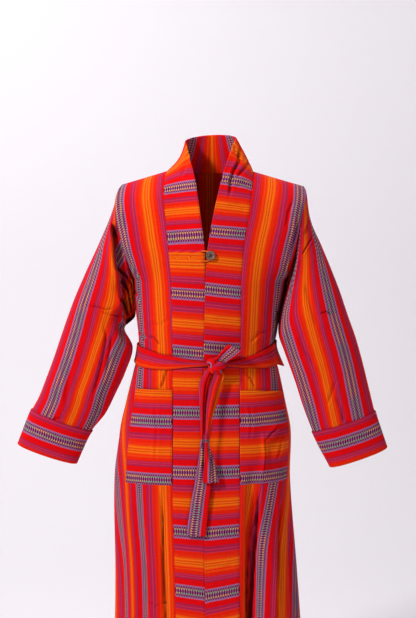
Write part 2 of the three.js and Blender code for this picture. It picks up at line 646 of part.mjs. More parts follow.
// The knot is a rounded block, broader than deep, with the turn of the belt as a ridge round it.
function knotGeometry(clearance) {
  const rings = 10;
  const around = 16;
  const positions = [];
  const index = [];
  const soft = (wave) => Math.sign(wave) * Math.abs(wave) ** knotPower;
  const push = (rise, turn) => {
    const ridge = 1 + knotRidge.height * Math.cos(2 * turn + knotRidge.turn) * Math.cos(rise);
    const size = (half) => half * ridge + clearance;
    positions.push(
      knotCentre.x + size(knotHalf.x) * soft(Math.cos(rise)) * soft(Math.cos(turn)),
      knotCentre.y + size(knotHalf.y) * soft(Math.cos(rise)) * soft(Math.sin(turn)),
      knotCentre.z + size(knotHalf.z) * soft(Math.sin(rise)),
    );
  };
  push(-Math.PI / 2, 0);
  for (let i = 1; i < rings; i++) {
    for (let j = 0; j < around; j++) push(Math.PI * (i / rings - 0.5), (2 * Math.PI * j) / around);
  }
  push(Math.PI / 2, 0);
  const spot = (i, j) => 1 + (i - 1) * around + (j % around);
  const peak = positions.length / 3 - 1;
  for (let j = 0; j < around; j++) {
    index.push(0, spot(1, j + 1), spot(1, j), peak, spot(rings - 1, j), spot(rings - 1, j + 1));
    for (let i = 1; i < rings - 1; i++) {
      const [a, b, c, d] = [spot(i, j), spot(i, j + 1), spot(i + 1, j + 1), spot(i + 1, j)];
      index.push(a, b, c, a, c, d);
    }
  }
  const geometry = new THREE.BufferGeometry();
  geometry.setAttribute('position', new THREE.Float32BufferAttribute(positions, 3));
  geometry.setIndex(index);
  return geometry;
}

function tailGrid(table) {
  const last = table[table.length - 1].z;
  const descending = table.map((row) => ({ ...row, down: -row.z }));
  return steps(tailSteps).map((s) => {
    const down = lerp(-table[0].z, -last, s);
    const get = (key) => read(descending, 'down', key, down);
    const front = read(bodySections, 'z', 'front', -down);
    return steps(tailColumns).map((t) => vector(
      lerp(get('left'), get('right'), t),
      -front - lerp(get('leftOut'), get('rightOut'), t) - tailBow * Math.sin(Math.PI * t),
      -down,
    ));
  });
}

function bowGrid() {
  const lefts = spaced(bowRows.map((row) => vector(row.leftX, row.y, row.leftZ)), bowSteps);
  const rights = spaced(bowRows.map((row) => vector(row.rightX, row.y, row.rightZ)), bowSteps);
  return lefts.map((left, k) => steps(tailColumns).map((t) => left.clone().lerp(rights[k], t)));
}

// ---- button and loop ----
// The outer surface of a band, found under a point seen from the front.
function onBand(grid, x, z) {
  let best = null;
  let nearest = Infinity;
  for (let i = 0; i < grid.length - 1; i++) {
    for (let j = 0; j < grid[0].length - 1; j++) {
      for (const s of steps(4)) {
        for (const t of steps(4)) {
          const low = grid[i][j].clone().lerp(grid[i][j + 1], t);
          const point = low.lerp(grid[i + 1][j].clone().lerp(grid[i + 1][j + 1], t), s);
          const away = Math.hypot(point.x - x, point.z - z);
          if (away < nearest) {
            nearest = away;
            best = point.y;
          }
        }
      }
    }
  }
  return best;
}

function buttonMesh(bandLeftGrid) {
  const profile = buttonProfile.map((row) => new THREE.Vector2(row.radius, row.height));
  const mesh = meshOf('button', new THREE.LatheGeometry(profile, 24), colours.button, 0.35);
  mesh.position.set(buttonAt.x, onBand(bandLeftGrid, buttonAt.x, buttonAt.z) - 2 * layGap, buttonAt.z);
  mesh.rotation.x = Math.PI - buttonTilt * degrees;
  return mesh;
}

function loopGeometry(grids) {
  const route = loopRoute.map(({ x, z }) => {
    const grid = x < -5 ? grids.right : grids.left;
    return vector(x, onBand(grid, x, z) - loopClearance - loopRadius, z);
  });
  const section = new THREE.Shape(
    Array.from({ length: 8 }, (_, k) => new THREE.Vector2(
      loopRadius * Math.cos((Math.PI * k) / 4), loopRadius * Math.sin((Math.PI * k) / 4),
    )),
  );
  return new THREE.ExtrudeGeometry(section, {
    steps: 18, bevelEnabled: false, extrudePath: new THREE.CatmullRomCurve3(route),
  });
}

// ---- assembly ----
function meshOf(name, geometry, colour, roughness = 0.9) {
  const material = new THREE.MeshStandardMaterial({ color: colour, roughness, metalness: 0 });
  const mesh = new THREE.Mesh(geometry, material);
  mesh.name = name;
  return mesh;
}

const group = new THREE.Group();
const sleeveSections = [
  0, 0.5, 1, 1.5, 2, 2.5, 3, 3.5, 4, 4.5, 5, 5.6, 6.2, 6.9, 7.6, 8.3, 9 - cuffLap, 9,
];
const cuffSections = [9 - cuffLap, 9, 9.33, 9.66, 10];

const back = piece('back', backGrid(), -1, clothWall);
const fronts = {};
const bands = {};
const sleeves = {};
for (const [side, sign] of Object.entries(sides)) {
  fronts[side] = piece(`front_${side}`, frontGrid(side), sign, clothWall);
  bands[side] = piece(`band_${side}`, bandGrid(side), -sign, bandWall);
  sleeves[side] = piece(`sleeve_${side}`, sleeveGrid(side, sleeveSections), sign, clothWall, { round: true });
}
const sewn = [back, ...Object.values(fronts), ...Object.values(bands), ...Object.values(sleeves)];
sewn.forEach(setNormals);
shareSeamNormals(sewn);
for (const item of sewn) {
  group.add(meshOf(item.name, wallOf(item), item.wall > clothWall ? colours.band : colours.cloth));
}

for (const [side, sign] of Object.entries(sides)) {
  const cuffGrid = sleeveGrid(side, cuffSections);
  const cuff = piece(`cuff_${side}`, cuffGrid, sign, bandWall, { round: true, inset: 0 });
  setNormals(cuff);
  cuff.lift = layGap + bandWall;
  group.add(meshOf(cuff.name, wallOf(cuff), colours.band));

  const pocket = pocketOn(fronts[side], `pocket_${side}`, pocketReach[side]);
  group.add(meshOf(pocket.name, wallOf(pocket), colours.band));
}

const belt = beltWall('belt_waist', 0);
group.add(meshOf(belt.name, belt.geometry, colours.belt));

const knotRoom = solidOf(knotGeometry(layGap));
const beltRoom = solidOf(beltWall('room', layGap).geometry);
const knot = solidOf(knotGeometry(0)).subtract(beltRoom);
group.add(meshOf('belt_knot', geometryOf(knot), colours.belt));

const strips = [
  { name: 'belt_tail_long', grid: tailGrid(tailLong) },
  { name: 'belt_tail_short', grid: tailGrid(tailShort) },
  { name: 'belt_bow', grid: bowGrid() },
];
for (const { name, grid } of strips) {
  const strip = piece(name, grid, 1, clothWall, { inset: 0 });
  setNormals(strip);
  group.add(meshOf(name, geometryOf(solidOf(wallOf(strip)).subtract(knotRoom)), colours.belt));
}

group.add(buttonMesh(bands.left.grid));
const grids = { left: bands.left.grid, right: bands.right.grid };
group.add(meshOf('button_loop', loopGeometry(grids), colours.band));

export default group;
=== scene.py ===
# A striped cotton kimono robe in its worn form: back, fronts, band and collar, sleeves with cuffs,
# pockets, a tied belt, and a button with its loop. Tables are in millimetres; meshes are in metres.

import math

import bmesh
import bpy
import numpy as np
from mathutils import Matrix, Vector


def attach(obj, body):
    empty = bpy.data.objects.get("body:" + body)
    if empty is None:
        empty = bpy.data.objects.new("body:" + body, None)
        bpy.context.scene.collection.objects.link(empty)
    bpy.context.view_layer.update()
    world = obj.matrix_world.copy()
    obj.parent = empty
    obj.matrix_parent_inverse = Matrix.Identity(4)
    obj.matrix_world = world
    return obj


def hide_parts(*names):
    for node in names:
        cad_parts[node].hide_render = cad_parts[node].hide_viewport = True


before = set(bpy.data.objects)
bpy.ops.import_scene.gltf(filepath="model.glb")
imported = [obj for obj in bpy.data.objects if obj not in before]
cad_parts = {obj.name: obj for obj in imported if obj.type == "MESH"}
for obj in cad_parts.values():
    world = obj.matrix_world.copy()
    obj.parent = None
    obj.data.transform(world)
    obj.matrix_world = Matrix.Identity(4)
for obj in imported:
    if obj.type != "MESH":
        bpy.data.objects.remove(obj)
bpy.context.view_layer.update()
print("frame loaded:", len(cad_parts), "nodes")

mm = 0.001
sides = {"left": 1, "right": -1}


# reading tables and drawing lines
def table(names, *rows):
    return dict(zip(names.split(), np.array(rows, float).T))


def read(rows, key, at):
    # smooth reading by the table's first column, never past the values of the rows on either side
    x, y = next(iter(rows.values())), rows[key]
    steep = np.diff(y) / np.diff(x)
    slope = np.concatenate([steep[:1], np.zeros(len(x) - 2), steep[-1:]])
    same = steep[:-1] * steep[1:] > 0
    both = np.where(same, steep[:-1] + steep[1:], 1)
    slope[1:-1] = np.where(same, 2 * steep[:-1] * steep[1:] / both, 0)
    k = np.clip(np.searchsorted(x, at) - 1, 0, len(x) - 2)
    span = x[k + 1] - x[k]
    t = np.clip((at - x[k]) / span, 0, 1)
    a = 2 * t**3 - 3 * t**2 + 1
    bend = (t**3 - 2 * t**2 + t) * slope[k] + (t**3 - t**2) * slope[k + 1]
    return a * y[k] + (1 - a) * y[k + 1] + span * bend


def ease(t):
    t = np.clip(t, 0, 1)
    return t * t * (3 - 2 * t)


def unit(v):
    return v / np.maximum(np.linalg.norm(v, axis=-1, keepdims=True), 1e-9)


def lerp(a, b, t):
    return a + (b - a) * t


def steps(count):
    return np.linspace(0, 1, count + 1)


def catmull(points, at):
    # centripetal curve through the points, read at places counted in points
    p = np.asarray(points, float)
    p = np.concatenate([2 * p[:1] - p[1:2], p, 2 * p[-1:] - p[-2:-1]])
    at = np.asarray(at, float)
    k = np.clip(np.floor(at).astype(int), 0, len(p) - 4)
    w = (at - k).reshape((-1,) + (1,) * (p.ndim - 1))
    a, b, c, d = (p[k + i] for i in range(4))

    def gap(q, r):
        return np.maximum(np.linalg.norm(r - q, axis=-1, keepdims=True), 1e-6) ** 0.5

    ab, bc, cd = gap(a, b), gap(b, c), gap(c, d)
    first = ((b - a) / ab - (c - a) / (ab + bc) + (c - b) / bc) * bc
    last = ((c - b) / bc - (d - b) / (bc + cd) + (d - c) / cd) * bc
    return (
        b + first * w + (3 * (c - b) - 2 * first - last) * w**2 + (2 * (b - c) + first + last) * w**3
    )


def alongOf(points):
    # distance passed at each point
    return np.concatenate([[0], np.cumsum(np.linalg.norm(np.diff(points, axis=0), axis=1))])


def spaced(points, count):
    # the curve through the points, cut into even steps
    fine = catmull(points, np.linspace(0, len(points) - 1, (len(points) - 1) * 30 + 1))
    along = alongOf(fine)
    even = np.linspace(0, along[-1], count + 1)
    return np.stack([np.interp(even, along, fine[:, i]) for i in range(3)], axis=1)


# the cloth: its repeat of stripes
# Distances from the middle of a patterned stripe, in millimetres.
stripes = {
    "repeat": 129.6,
    "patternHalf": 14.6,
    "red": (0.80, 0.001, 0.004),
    "deepRed": (0.60, 0.002, 0.006),
    "magenta": (0.50, 0.012, 0.060),
    "plumRed": (0.33, 0.014, 0.060),
    "rose": (0.60, 0.030, 0.085),
    "redOrange": (0.84, 0.014, 0.002),
    "orangeRed": (0.87, 0.028, 0.002),
    "amber": (0.90, 0.058, 0.002),
    "orange": (0.90, 0.090, 0.002),
    "yellowOrange": (0.95, 0.190, 0.005),
    "brown": (0.62, 0.034, 0.003),
    "blueGrey": (0.27, 0.20, 0.36),
    "violet": (0.41, 0.10, 0.25),
    "plum": (0.072, 0.007, 0.055),
    "yellow": (0.68, 0.44, 0.16),
    "teal": (0.13, 0.46, 0.30),
    "dash": 5.4,
    "rows": (3.3, 7.1, 11.2),  # edges of the pattern's rows
    "threads": 1900,           # per metre
    "wander": 1.2,             # how far the edge of a stripe strays
    # how far the painted shade in the cloth's colour looks for nearby cloth
    "paintedShadeReach": 20,           # folds narrower than this are dark at the bottom
}
# Where each colour of the ground starts, over one repeat that begins in the middle of a pattern.
ground = [
    (0.0, "red"), (26.6, "deepRed"), (27.4, "magenta"), (30.2, "plumRed"), (31.2, "rose"),
    (33.0, "magenta"), (36.2, "rose"), (38.0, "magenta"), (39.8, "redOrange"), (46.4, "orangeRed"),
    (48.2, "amber"), (51.4, "orangeRed"), (54.6, "orange"), (56.8, "yellowOrange"), (58.8, "orange"),
    (61.2, "brown"), (61.9, "yellowOrange"), (64.2, "orange"), (66.2, "brown"), (66.8, "orange"),
    (68.4, "yellowOrange"), (70.8, "orange"), (74.4, "orangeRed"), (80.6, "redOrange"), (88.2, "rose"),
    (90.0, "magenta"), (93.0, "plumRed"), (94.0, "rose"), (96.4, "magenta"), (99.6, "plumRed"),
    (100.6, "magenta"), (102.6, "red"),
]


class Nodes:
    # a short way to write shader trees
    def __init__(self, tree):
        self.tree = tree

    def add(self, kind, values=(), **settings):
        node = self.tree.nodes.new(kind)
        for key, value in settings.items():
            setattr(node, key, value)
        for key, value in dict(values).items():
            if isinstance(value, bpy.types.NodeSocket):
                self.tree.links.new(value, node.inputs[key])
            else:
                node.inputs[key].default_value = value
        return node

    def math(self, operation, a, b=0.0, c=None):
        values = {0: a, 1: b} if c is None else {0: a, 1: b, 2: c}
        return self.add("ShaderNodeMath", values, operation=operation).outputs[0]

    def noise(self, place, scale, detail, **more):
        values = {"Vector": place, "Scale": scale, "Detail": detail}
        return self.add("ShaderNodeTexNoise", {**values, **more}).outputs[0]

    def grey(self, value):
        return self.vector(value, value, value)

    def vector(self, *values):
        return self.add("ShaderNodeCombineXYZ", dict(enumerate(values))).outputs[0]

    def spread(self, value, *limits):
        return self.add("ShaderNodeMapRange", dict(enumerate((value, *limits)))).outputs[0]

    def mix(self, factor, a, b, blend="MIX"):
        node = self.add("ShaderNodeMix", data_type="RGBA", blend_type=blend)
        for socket, value in zip((node.inputs[0], node.inputs[6], node.inputs[7]), (factor, a, b)):
            if isinstance(value, bpy.types.NodeSocket):
                self.tree.links.new(value, socket)
            else:
                socket.default_value = value if isinstance(value, float) else (*value, 1.0)
        return node.outputs[2]

    def ramp(self, factor, stops, mode="CONSTANT"):
        node = self.add("ShaderNodeValToRGB", {0: factor})
        node.color_ramp.interpolation = mode
        points = node.color_ramp.elements
        while len(points) > 1:
            points.remove(points[-1])
        points[0].position, points[0].color = stops[0][0], (*stops[0][1], 1)
        for place, colour in stops[1:]:
            points.new(place).color = (*colour, 1)
        return node.outputs[0]


def emptyMaterial(name):
    material = bpy.data.materials.new(name)
    material.use_nodes = True
    material.node_tree.nodes.clear()
    return material, Nodes(material.node_tree)


def clothMaterial(name, sheen):
    material, n = emptyMaterial(name)
    place = n.add("ShaderNodeUVMap", uv_map="cloth").outputs[0]
    spot = n.add("ShaderNodeSeparateXYZ", {0: place})
    solid = n.add("ShaderNodeTexCoord").outputs["Object"]
    # threads wander a little, so no stripe has a ruled edge
    across = n.math("MULTIPLY_ADD", n.noise(solid, 38.0, 2.0), stripes["wander"] * mm, spot.outputs[0])
    along = spot.outputs[1]
    repeat = stripes["repeat"]
    turns = n.math("DIVIDE", across, repeat * mm)
    share = n.math("FRACT", turns)
    base = n.ramp(share, [(start / repeat, stripes[colour]) for start, colour in ground])

    # patterned stripes: rows of dashes, dotted rows and a border, counted from the middle
    centred = n.math("SUBTRACT", n.math("FRACT", n.math("ADD", turns, 0.5)), 0.5)
    away = n.math("MULTIPLY", n.math("ABSOLUTE", centred), repeat)
    beat = n.math("FRACT", n.math("DIVIDE", along, stripes["dash"] * mm))
    dashOn = n.math("LESS_THAN", beat, 0.56)
    dotOn = n.math("LESS_THAN", n.math("FRACT", n.math("ADD", beat, 0.52)), 0.5)
    inPattern = n.math("LESS_THAN", away, stripes["patternHalf"])
    change = n.spread(n.noise(solid, 21.0, 1.0), 0.42, 0.58)
    accent = n.mix(change, stripes["yellow"], stripes["teal"])
    pattern = n.mix(dashOn, stripes["violet"], stripes["plum"])
    marks = [("plumRed", accent, dotOn), ("violet", stripes["plum"], dotOn),
             ("blueGrey", stripes["violet"], dashOn)]
    for edge, (under, mark, on) in zip(stripes["rows"], marks):
        row = n.mix(on, stripes[under], mark)
        pattern = n.mix(n.math("GREATER_THAN", away, edge), pattern, row)
    colour = n.mix(inPattern, base, pattern)

    # threads: each warp a little lighter or darker, thicker places in the weft, and the weave
    def threads(perAcross, perAlong):
        return n.vector(n.math("MULTIPLY", across, perAcross), n.math("MULTIPLY", along, perAlong))

    warp = n.noise(threads(stripes["threads"] * 0.7, 9.0), 1.0, 2.0)
    weft = n.noise(threads(40.0, 620.0), 1.0, 3.0)
    wear = n.noise(solid, 9.0, 4.0)
    light = n.math("ADD", n.math("MULTIPLY_ADD", warp, 0.46, 0.77),
                   n.math("MULTIPLY_ADD", weft, 0.30, -0.15))
    light = n.math("ADD", light, n.math("MULTIPLY_ADD", wear, 0.16, -0.08))
    colour = n.mix(1.0, colour, n.grey(light), "MULTIPLY")
    # painted shade: the colour is darkened where other cloth lies near, at the bottom of folds, under the
    # belt and between parts
    reach = {"Distance": stripes["paintedShadeReach"] * mm}
    # clear says how open the cloth is round each spot; it only paints shade into the colour
    clear = n.add("ShaderNodeAmbientOcclusion", reach, samples=8).outputs["AO"]
    colour = n.mix(1.0, colour, n.grey(n.spread(clear, 0.25, 0.78, 0.14, 1.0)), "MULTIPLY")
    over = n.math("SINE", n.math("MULTIPLY", across, stripes["threads"] * math.pi))
    under = n.math("SINE", n.math("MULTIPLY", along, stripes["threads"] * 0.9 * math.pi))
    weave = n.math("MULTIPLY", over, under)
    ribs = n.math("ADD", n.math("MULTIPLY", weave, 0.5), n.math("MULTIPLY", weft, 1.2))
    bump = n.add("ShaderNodeBump", {"Height": ribs, "Strength": 0.45, "Distance": 0.0004}).outputs[0]
    cloth = n.add("ShaderNodeBsdfPrincipled", {
        "Base Color": colour, "Roughness": 0.86, "Normal": bump, "Sheen Weight": sheen,
        "Sheen Roughness": 0.5, "Sheen Tint": (1, 0.3, 0.25, 1), "Specular IOR Level": 0.06,
    })
    n.add("ShaderNodeOutputMaterial", {0: cloth.outputs[0]})
    return material


materials = {
    "striped": clothMaterial("stripedCotton", 0.12),
    "band": clothMaterial("bandCotton", 0.12),
    "belt": clothMaterial("beltCotton", 0.15),
}
print("cloth materials ready")


def newObject(name, points, faces, material=None, edges=()):
    mesh = bpy.data.meshes.new(name)
    mesh.from_pydata(points.reshape(-1, 3).tolist(), edges, faces)
    if material:
        mesh.polygons.foreach_set("use_smooth", np.ones(len(faces), bool))
        mesh.materials.append(material)
    piece = bpy.data.objects.new(name, mesh)
    bpy.context.collection.objects.link(piece)
    return piece


# from a grid of points to a piece of cloth
folds = {
    "ridge": 0.35,      # height beside a crease, as a share of its depth
    "lip": 0.16,        # the same at the edge of an overlap
    "fade": 0.22,       # share of a crease over which it starts, and ends
    "edgeFade": 0.12,
}


def gridNormals(grid, turn, closed=False):
    if closed:
        across = np.roll(grid, -1, 1) - np.roll(grid, 1, 1)
    else:
        wide = np.concatenate([grid[:, :1], grid, grid[:, -1:]], 1)
        across = wide[:, 2:] - wide[:, :-2]
    tall = np.concatenate([grid[:1], grid, grid[-1:]], 0)
    return unit(np.cross(across, tall[2:] - tall[:-2])) * turn


def rowDistance(grid, start=0):
    # distance along each row from a column
    gaps = np.linalg.norm(np.diff(grid, axis=1), axis=2)
    total = np.concatenate([np.zeros((len(grid), 1)), np.cumsum(gaps, axis=1)], 1)
    return total - total[:, start:start + 1]


def columnDistance(grid):
    return rowDistance(grid.swapaxes(0, 1)).T


def fromLine(grid, path):
    # signed distance from a line of (x, z) points, positive on its right-hand side, and the share
    # of the line's length passed
    path = np.array(path, float)
    flat = grid[..., [0, 2]]
    nearest = np.full(flat.shape[:2], 1e9)
    share, hand = np.zeros(flat.shape[:2]), np.zeros(flat.shape[:2])
    before = alongOf(path)
    for k, length in enumerate(np.diff(before)):
        way = (path[k + 1] - path[k]) / length
        offset = flat - path[k]
        t = np.clip(offset @ way, 0, length)
        away = np.linalg.norm(offset - t[..., None] * way, axis=-1)
        closer = away < nearest
        nearest = np.where(closer, away, nearest)
        share = np.where(closer, (before[k] + t) / before[-1], share)
        hand = np.where(closer, np.sign(offset[..., 0] * way[1] - offset[..., 1] * way[0]), hand)
    return nearest * hand, share


def towards(normals, face):
    # 1 on the side of the cloth that faces the front (-1) or the back (1), 0 on the other
    return ease(face * normals[..., 1] * 3)


def crease(grid, normals, path, width, depth, swell, face):
    # a soft line pressed into the cloth, with a low ridge beside it, and a swelling round it
    d, share = fromLine(grid, path)
    d = d / width
    fall = folds["ridge"] * depth * np.exp(-((d - 1.7) ** 2)) - depth * np.exp(-d * d)
    fall = fall + swell * depth * np.exp(-((d / 3) ** 2))
    fade = ease(share / folds["fade"]) * ease((1 - share) / folds["fade"]) * towards(normals, face)
    return grid + normals * (fall * fade)[..., None]


def overlap(grid, normals, path, width, depth, reach, face):
    # right of the line the cloth drops behind the edge of a fold, and comes back further on
    d, share = fromLine(grid, path)
    fall = depth * ease(d / width) * (1 - ease((d - width) / reach))
    lip = -folds["lip"] * depth * np.exp(-(((d + 0.7 * width) / width) ** 2))
    fade = ease(share / folds["edgeFade"]) * ease((1 - share) / folds["edgeFade"])
    moved = grid.copy()
    moved[..., 1] -= face * (fall + lip) * fade * towards(normals, face)
    return moved


def folded(grid, normals, creases=(), overlaps=(), swell=0, face=-1):
    for path, width, depth, reach in overlaps:
        grid = overlap(grid, normals, path, width, depth, reach, face)
    for path, width, depth in creases:
        grid = crease(grid, normals, path, width, depth, swell, face)
    return grid


def clothShell(name, grid, normals, place, turn, wall, closed=False, material="striped",
               flat=None, replaces=None, rimRound=0.5):
    # a wall behind the grid, with a rounded rim; place is the cloth's own place, across and along
    rows, columns = grid.shape[:2]
    inner = grid - normals * wall
    middle = (grid + inner) / 2
    count = rows * columns
    verts = [grid.reshape(-1, 3), inner.reshape(-1, 3)]
    uv = np.stack(np.broadcast_arrays(*place), -1)
    uvColumns = uv.shape[1]
    i, j = np.meshgrid(np.arange(rows - 1), np.arange(uvColumns - 1), indexing="ij")
    i, j = i.ravel(), j.ravel()

    def spot(a, b):
        return a * columns + b % columns

    def uvSpot(a, b):
        return a * uvColumns + b

    quad, quadUv = (np.stack([at(i, j), at(i, j + 1), at(i + 1, j + 1), at(i + 1, j)], 1)
                    for at in (spot, uvSpot))
    faces = [quad, quad[:, ::-1] + count]
    faceUv = [quadUv, quadUv[:, ::-1]]

    last, end = rows - 1, uvColumns - 1
    if closed:
        loops = [[(0, b) for b in range(end + 1)], [(last, b) for b in range(end, -1, -1)]]
    else:
        loops = [[(0, b) for b in range(end)] + [(a, end) for a in range(last)]
                 + [(last, b) for b in range(end, 0, -1)] + [(a, 0) for a in range(last, -1, -1)]]
    start = 2 * count
    for loop in loops:
        a, b = np.array(loop).T
        wrapped = b % columns
        # a rim vertex stands out from the edge, so the edge is round
        inside = grid[np.clip(a, 1, last - 1), wrapped if closed else np.clip(b, 1, end - 1)]
        away = unit(grid[a, wrapped] - inside)
        rim = middle[a, wrapped] + away * wall * rimRound
        verts.append(rim[:-1])
        size = len(loop) - 1
        k = np.arange(size)
        here, there = start + k, start + (k + 1) % size
        p, q = spot(a[:-1], b[:-1]), spot(a[1:], b[1:])
        pu, qu = uvSpot(a[:-1], b[:-1]), uvSpot(a[1:], b[1:])
        faces += [np.stack([q, p, here, there], 1), np.stack([there, here, p + count, q + count], 1)]
        faceUv += [np.stack([qu, pu, pu, qu], 1), np.stack([qu, pu, pu, qu], 1)]
        start += size
    faces, faceUv = np.concatenate(faces), np.concatenate(faceUv)
    if turn < 0:
        faces, faceUv = faces[:, ::-1], faceUv[:, ::-1]
    piece = newObject(name, np.concatenate(verts) * mm, faces.tolist(), materials[material])
    layer = piece.data.uv_layers.new(name="cloth")
    layer.data.foreach_set("uv", (uv.reshape(-1, 2)[faceUv.ravel()] * mm).astype(np.float32).ravel())
    if flat:
        finishPiece(piece, replaces)
    return piece


def seamLines(grid, normals, columns=(), rows=()):
    # lines just over the cloth, at places counted in columns and rows of its grid
    over = grid + 0.12 * normals
    lines = []
    for cloth, places in ((over, columns), (over.swapaxes(0, 1), rows)):
        for place in places:
            k = int(place)
            lines.append(lerp(cloth[:, k], cloth[:, k + 1], place - k))
    return lines


def onGrid(grid, x, z):
    # y of a cloth's outer surface under a point seen from the front
    away = np.hypot(grid[..., 0] - x, grid[..., 2] - z) + 1e-6
    close = np.argsort(away.ravel())[:4]
    weight = 1 / away.ravel()[close]
    return float((grid[..., 1].ravel()[close] * weight).sum() / weight.sum())


def turnedHem(grid, normals):
    # the hem is folded twice, so it stands a little thicker up to its seam
    rows = np.arange(len(grid))[:, None, None]
    return grid + normals * body["hemLift"] * (1 - ease((rows - body["hemRows"]) / 0.9))


def finishPiece(piece, replaces=None):
    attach(piece, "root")
    if replaces:
        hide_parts(replaces)


def joined(name, pieces):
    for piece in bpy.context.selected_objects:
        piece.select_set(False)
    for piece in pieces:
        piece.select_set(True)
    bpy.context.view_layer.objects.active = pieces[0]
    bpy.ops.object.join()
    pieces[0].name = pieces[0].data.name = name
    return pieces[0]


sewn = {}  # lines to be sewn, kept by piece

# the body
body = {
    "hem": -1220,
    "underarm": -238,
    "rowStep": 4,           # height of a row below the underarm
    "upperRows": 72,        # rows from there to the shoulder
    "ringPower": 2.3,       # 2 is an oval, more is squarer
    "foldGrowth": 2.5,
    "wall": 0.9,
    "bandGap": 0.8,         # between the two halves of the band
    "hemLift": 0.7,
    "hemRows": 5,
    "hemSeam": [4.6],       # row of the hem's stitches
}
bodySections = table(
    "z centre half front back",
    (-1220, 0, 222, 142, 142), (-1027, -1, 214, 134, 135), (-915, -4, 209, 128, 131),
    (-689, -13, 200, 117, 122), (-584, -6, 194, 112, 116), (-515, -5, 180, 108, 107),
    (-446, -4, 164, 102, 93), (-395, -4, 152, 98, 84), (-361, -1, 156, 103, 88),
    (-311, 0, 162, 109, 93), (-238, 5, 171, 112, 98),
)
# how far a row sinks towards its side seam
rowDrop = table("z left right", (-800, 0, 0), (-684, 2, 8), (-474, 20, 10), (-412, 0, 0))
# skirt folds: heights of top and bottom, angles there, half width in degrees, and depth
bodyFolds = [
    (-600, -1220, 33, 23, 7.5, -27), (-690, -1220, 44, 38, 9, 7), (-700, -1220, 74, 62, 9, -10),
    (-690, -1220, -27, -23, 6, -6), (-640, -1220, -44, -40, 9, -11),
    (-720, -1220, -70, -62, 9, -8), (-430, -1220, 112, 106, 11, -11),
    (-440, -1220, 138, 134, 10, -13), (-450, -1220, 166, 164, 9, -10),
    (-436, -1220, -172, -168, 9, -12), (-440, -1220, -146, -140, 11, -14),
    (-450, -1220, -116, -108, 10, -10),
]
# where the band's seams and front edges run, below the underarm and above it
bandSeams = table(
    "z left right middle",
    (-1220, 70, -72, -7), (-990, 70, -72, -6), (-773, 70, -77, -9), (-665, 71, -79, -10),
    (-472, 70, -78, -10), (-334, 72, -79, -8), (-238, 73, -81, -6),
)
bandPaths = {
    "left": {
        "seam": [(77, -99, -174), (81, -93, -141), (88, -82, -102), (94, -66, -59), (99, -46, -28),
                 (101, -24, -6), (101, 0, 2)],
        "edge": [(-1, -110, -171), (5, -103, -130), (12, -91, -92), (21, -76, -52),
                 (33, -57, -5), (48, -35, 38), (63, -5, 75)],
    },
    "right": {
        "seam": [(-85, -99, -178), (-89, -93, -146), (-93, -80, -98), (-97, -62, -55),
                 (-97, -44, -28), (-95, -23, -6), (-91, 0, 3)],
        "edge": [(-7, -110, -176), (-11, -103, -138), (-18, -88, -86), (-24, -74, -45),
                 (-31, -58, -6), (-42, -36, 34), (-51, -5, 68)],
    },
}
armholes = {
    "left": table(
        "x z front back",
        (176, -240, 0, 0), (184, -220, -34, 32), (191, -186, -52, 48), (199, -139, -59, 55),
        (206, -98, -54, 51), (215, -62, -38, 38), (218, -42, -16, 24), (214, -31, 6, 6),
    ),
    "right": table(
        "x z front back",
        (-166, -240, 0, 0), (-171, -218, -34, 32), (-182, -184, -52, 48), (-194, -140, -59, 55),
        (-203, -98, -52, 51), (-205, -62, -36, 38), (-200, -39, -14, 24), (-192, -27, 6, 6),
    ),
}


def foldHeight(angle, z):
    height = np.zeros(np.broadcast(angle, z).shape)
    for top, bottom, angleTop, angleBottom, width, depth in bodyFolds:
        down = (top - z) / (top - bottom)
        middle = np.radians(lerp(angleTop, angleBottom, down))
        apart = np.abs(np.arctan2(np.sin(angle - middle), np.cos(angle - middle)))
        across = np.clip(apart / math.radians(width), 0, 1)
        grown = ease(down * body["foldGrowth"])
        height += depth * grown * (0.5 + 0.5 * np.cos(np.pi * across))
    return height


def bodyPoint(angle, z, lift=0):
    # angles run from the front centre, 0, over the left side seam, 90 degrees
    sine, cosine = np.sin(angle), np.cos(angle)
    power = 2 / body["ringPower"]
    x = read(bodySections, "half", z) * np.sign(sine) * np.abs(sine) ** power
    front, back = read(bodySections, "front", z), read(bodySections, "back", z)
    y = np.where(cosine > 0, -front, back) * np.abs(cosine) ** power
    grow = 1 + (foldHeight(angle, z) + lift) / np.hypot(x, y)
    centre = read(bodySections, "centre", z)
    return np.stack(np.broadcast_arrays(centre + x * grow, y * grow, z), -1)


def angleAt(x, z):
    share = (x - read(bodySections, "centre", z)) / read(bodySections, "half", z)
    return np.arcsin(np.sign(share) * np.abs(share) ** (body["ringPower"] / 2))


def rowPoint(angle, level):
    side = np.where(np.sin(angle) > 0, read(rowDrop, "left", level),
                    read(rowDrop, "right", level))
    return bodyPoint(angle, level - side * (1 - np.abs(np.cos(angle))))


underarm, upperRows = body["underarm"], body["upperRows"]
levels = np.linspace(body["hem"], underarm, round((underarm - body["hem"]) / body["rowStep"]) + 1)


def seamAngle(side, z):
    return angleAt(read(bandSeams, side, z), z)


def edgeAngle(side, z):
    return angleAt(read(bandSeams, "middle", z) + sides[side] * body["bandGap"] / 2, z)


def seamCurve(side):
    start = rowPoint(seamAngle(side, underarm), underarm)
    return spaced([start, *bandPaths[side]["seam"]], upperRows)


def edgeCurve(side):
    start = rowPoint(edgeAngle(side, underarm), underarm)
    return spaced([start, *bandPaths[side]["edge"]], upperRows)


def armholeCurve(side, face):
    rows = armholes[side]
    points = np.stack([rows["x"], rows[face], rows["z"]], 1)
    points[0] = rowPoint(np.radians(sides[side] * 90.0), underarm)
    return spaced(points, upperRows)


def shoulderLine(side, columns):
    base, tip = seamCurve(side)[-1], armholeCurve(side, "front")[-1]
    return base + (tip - base) * steps(columns)[:, None]


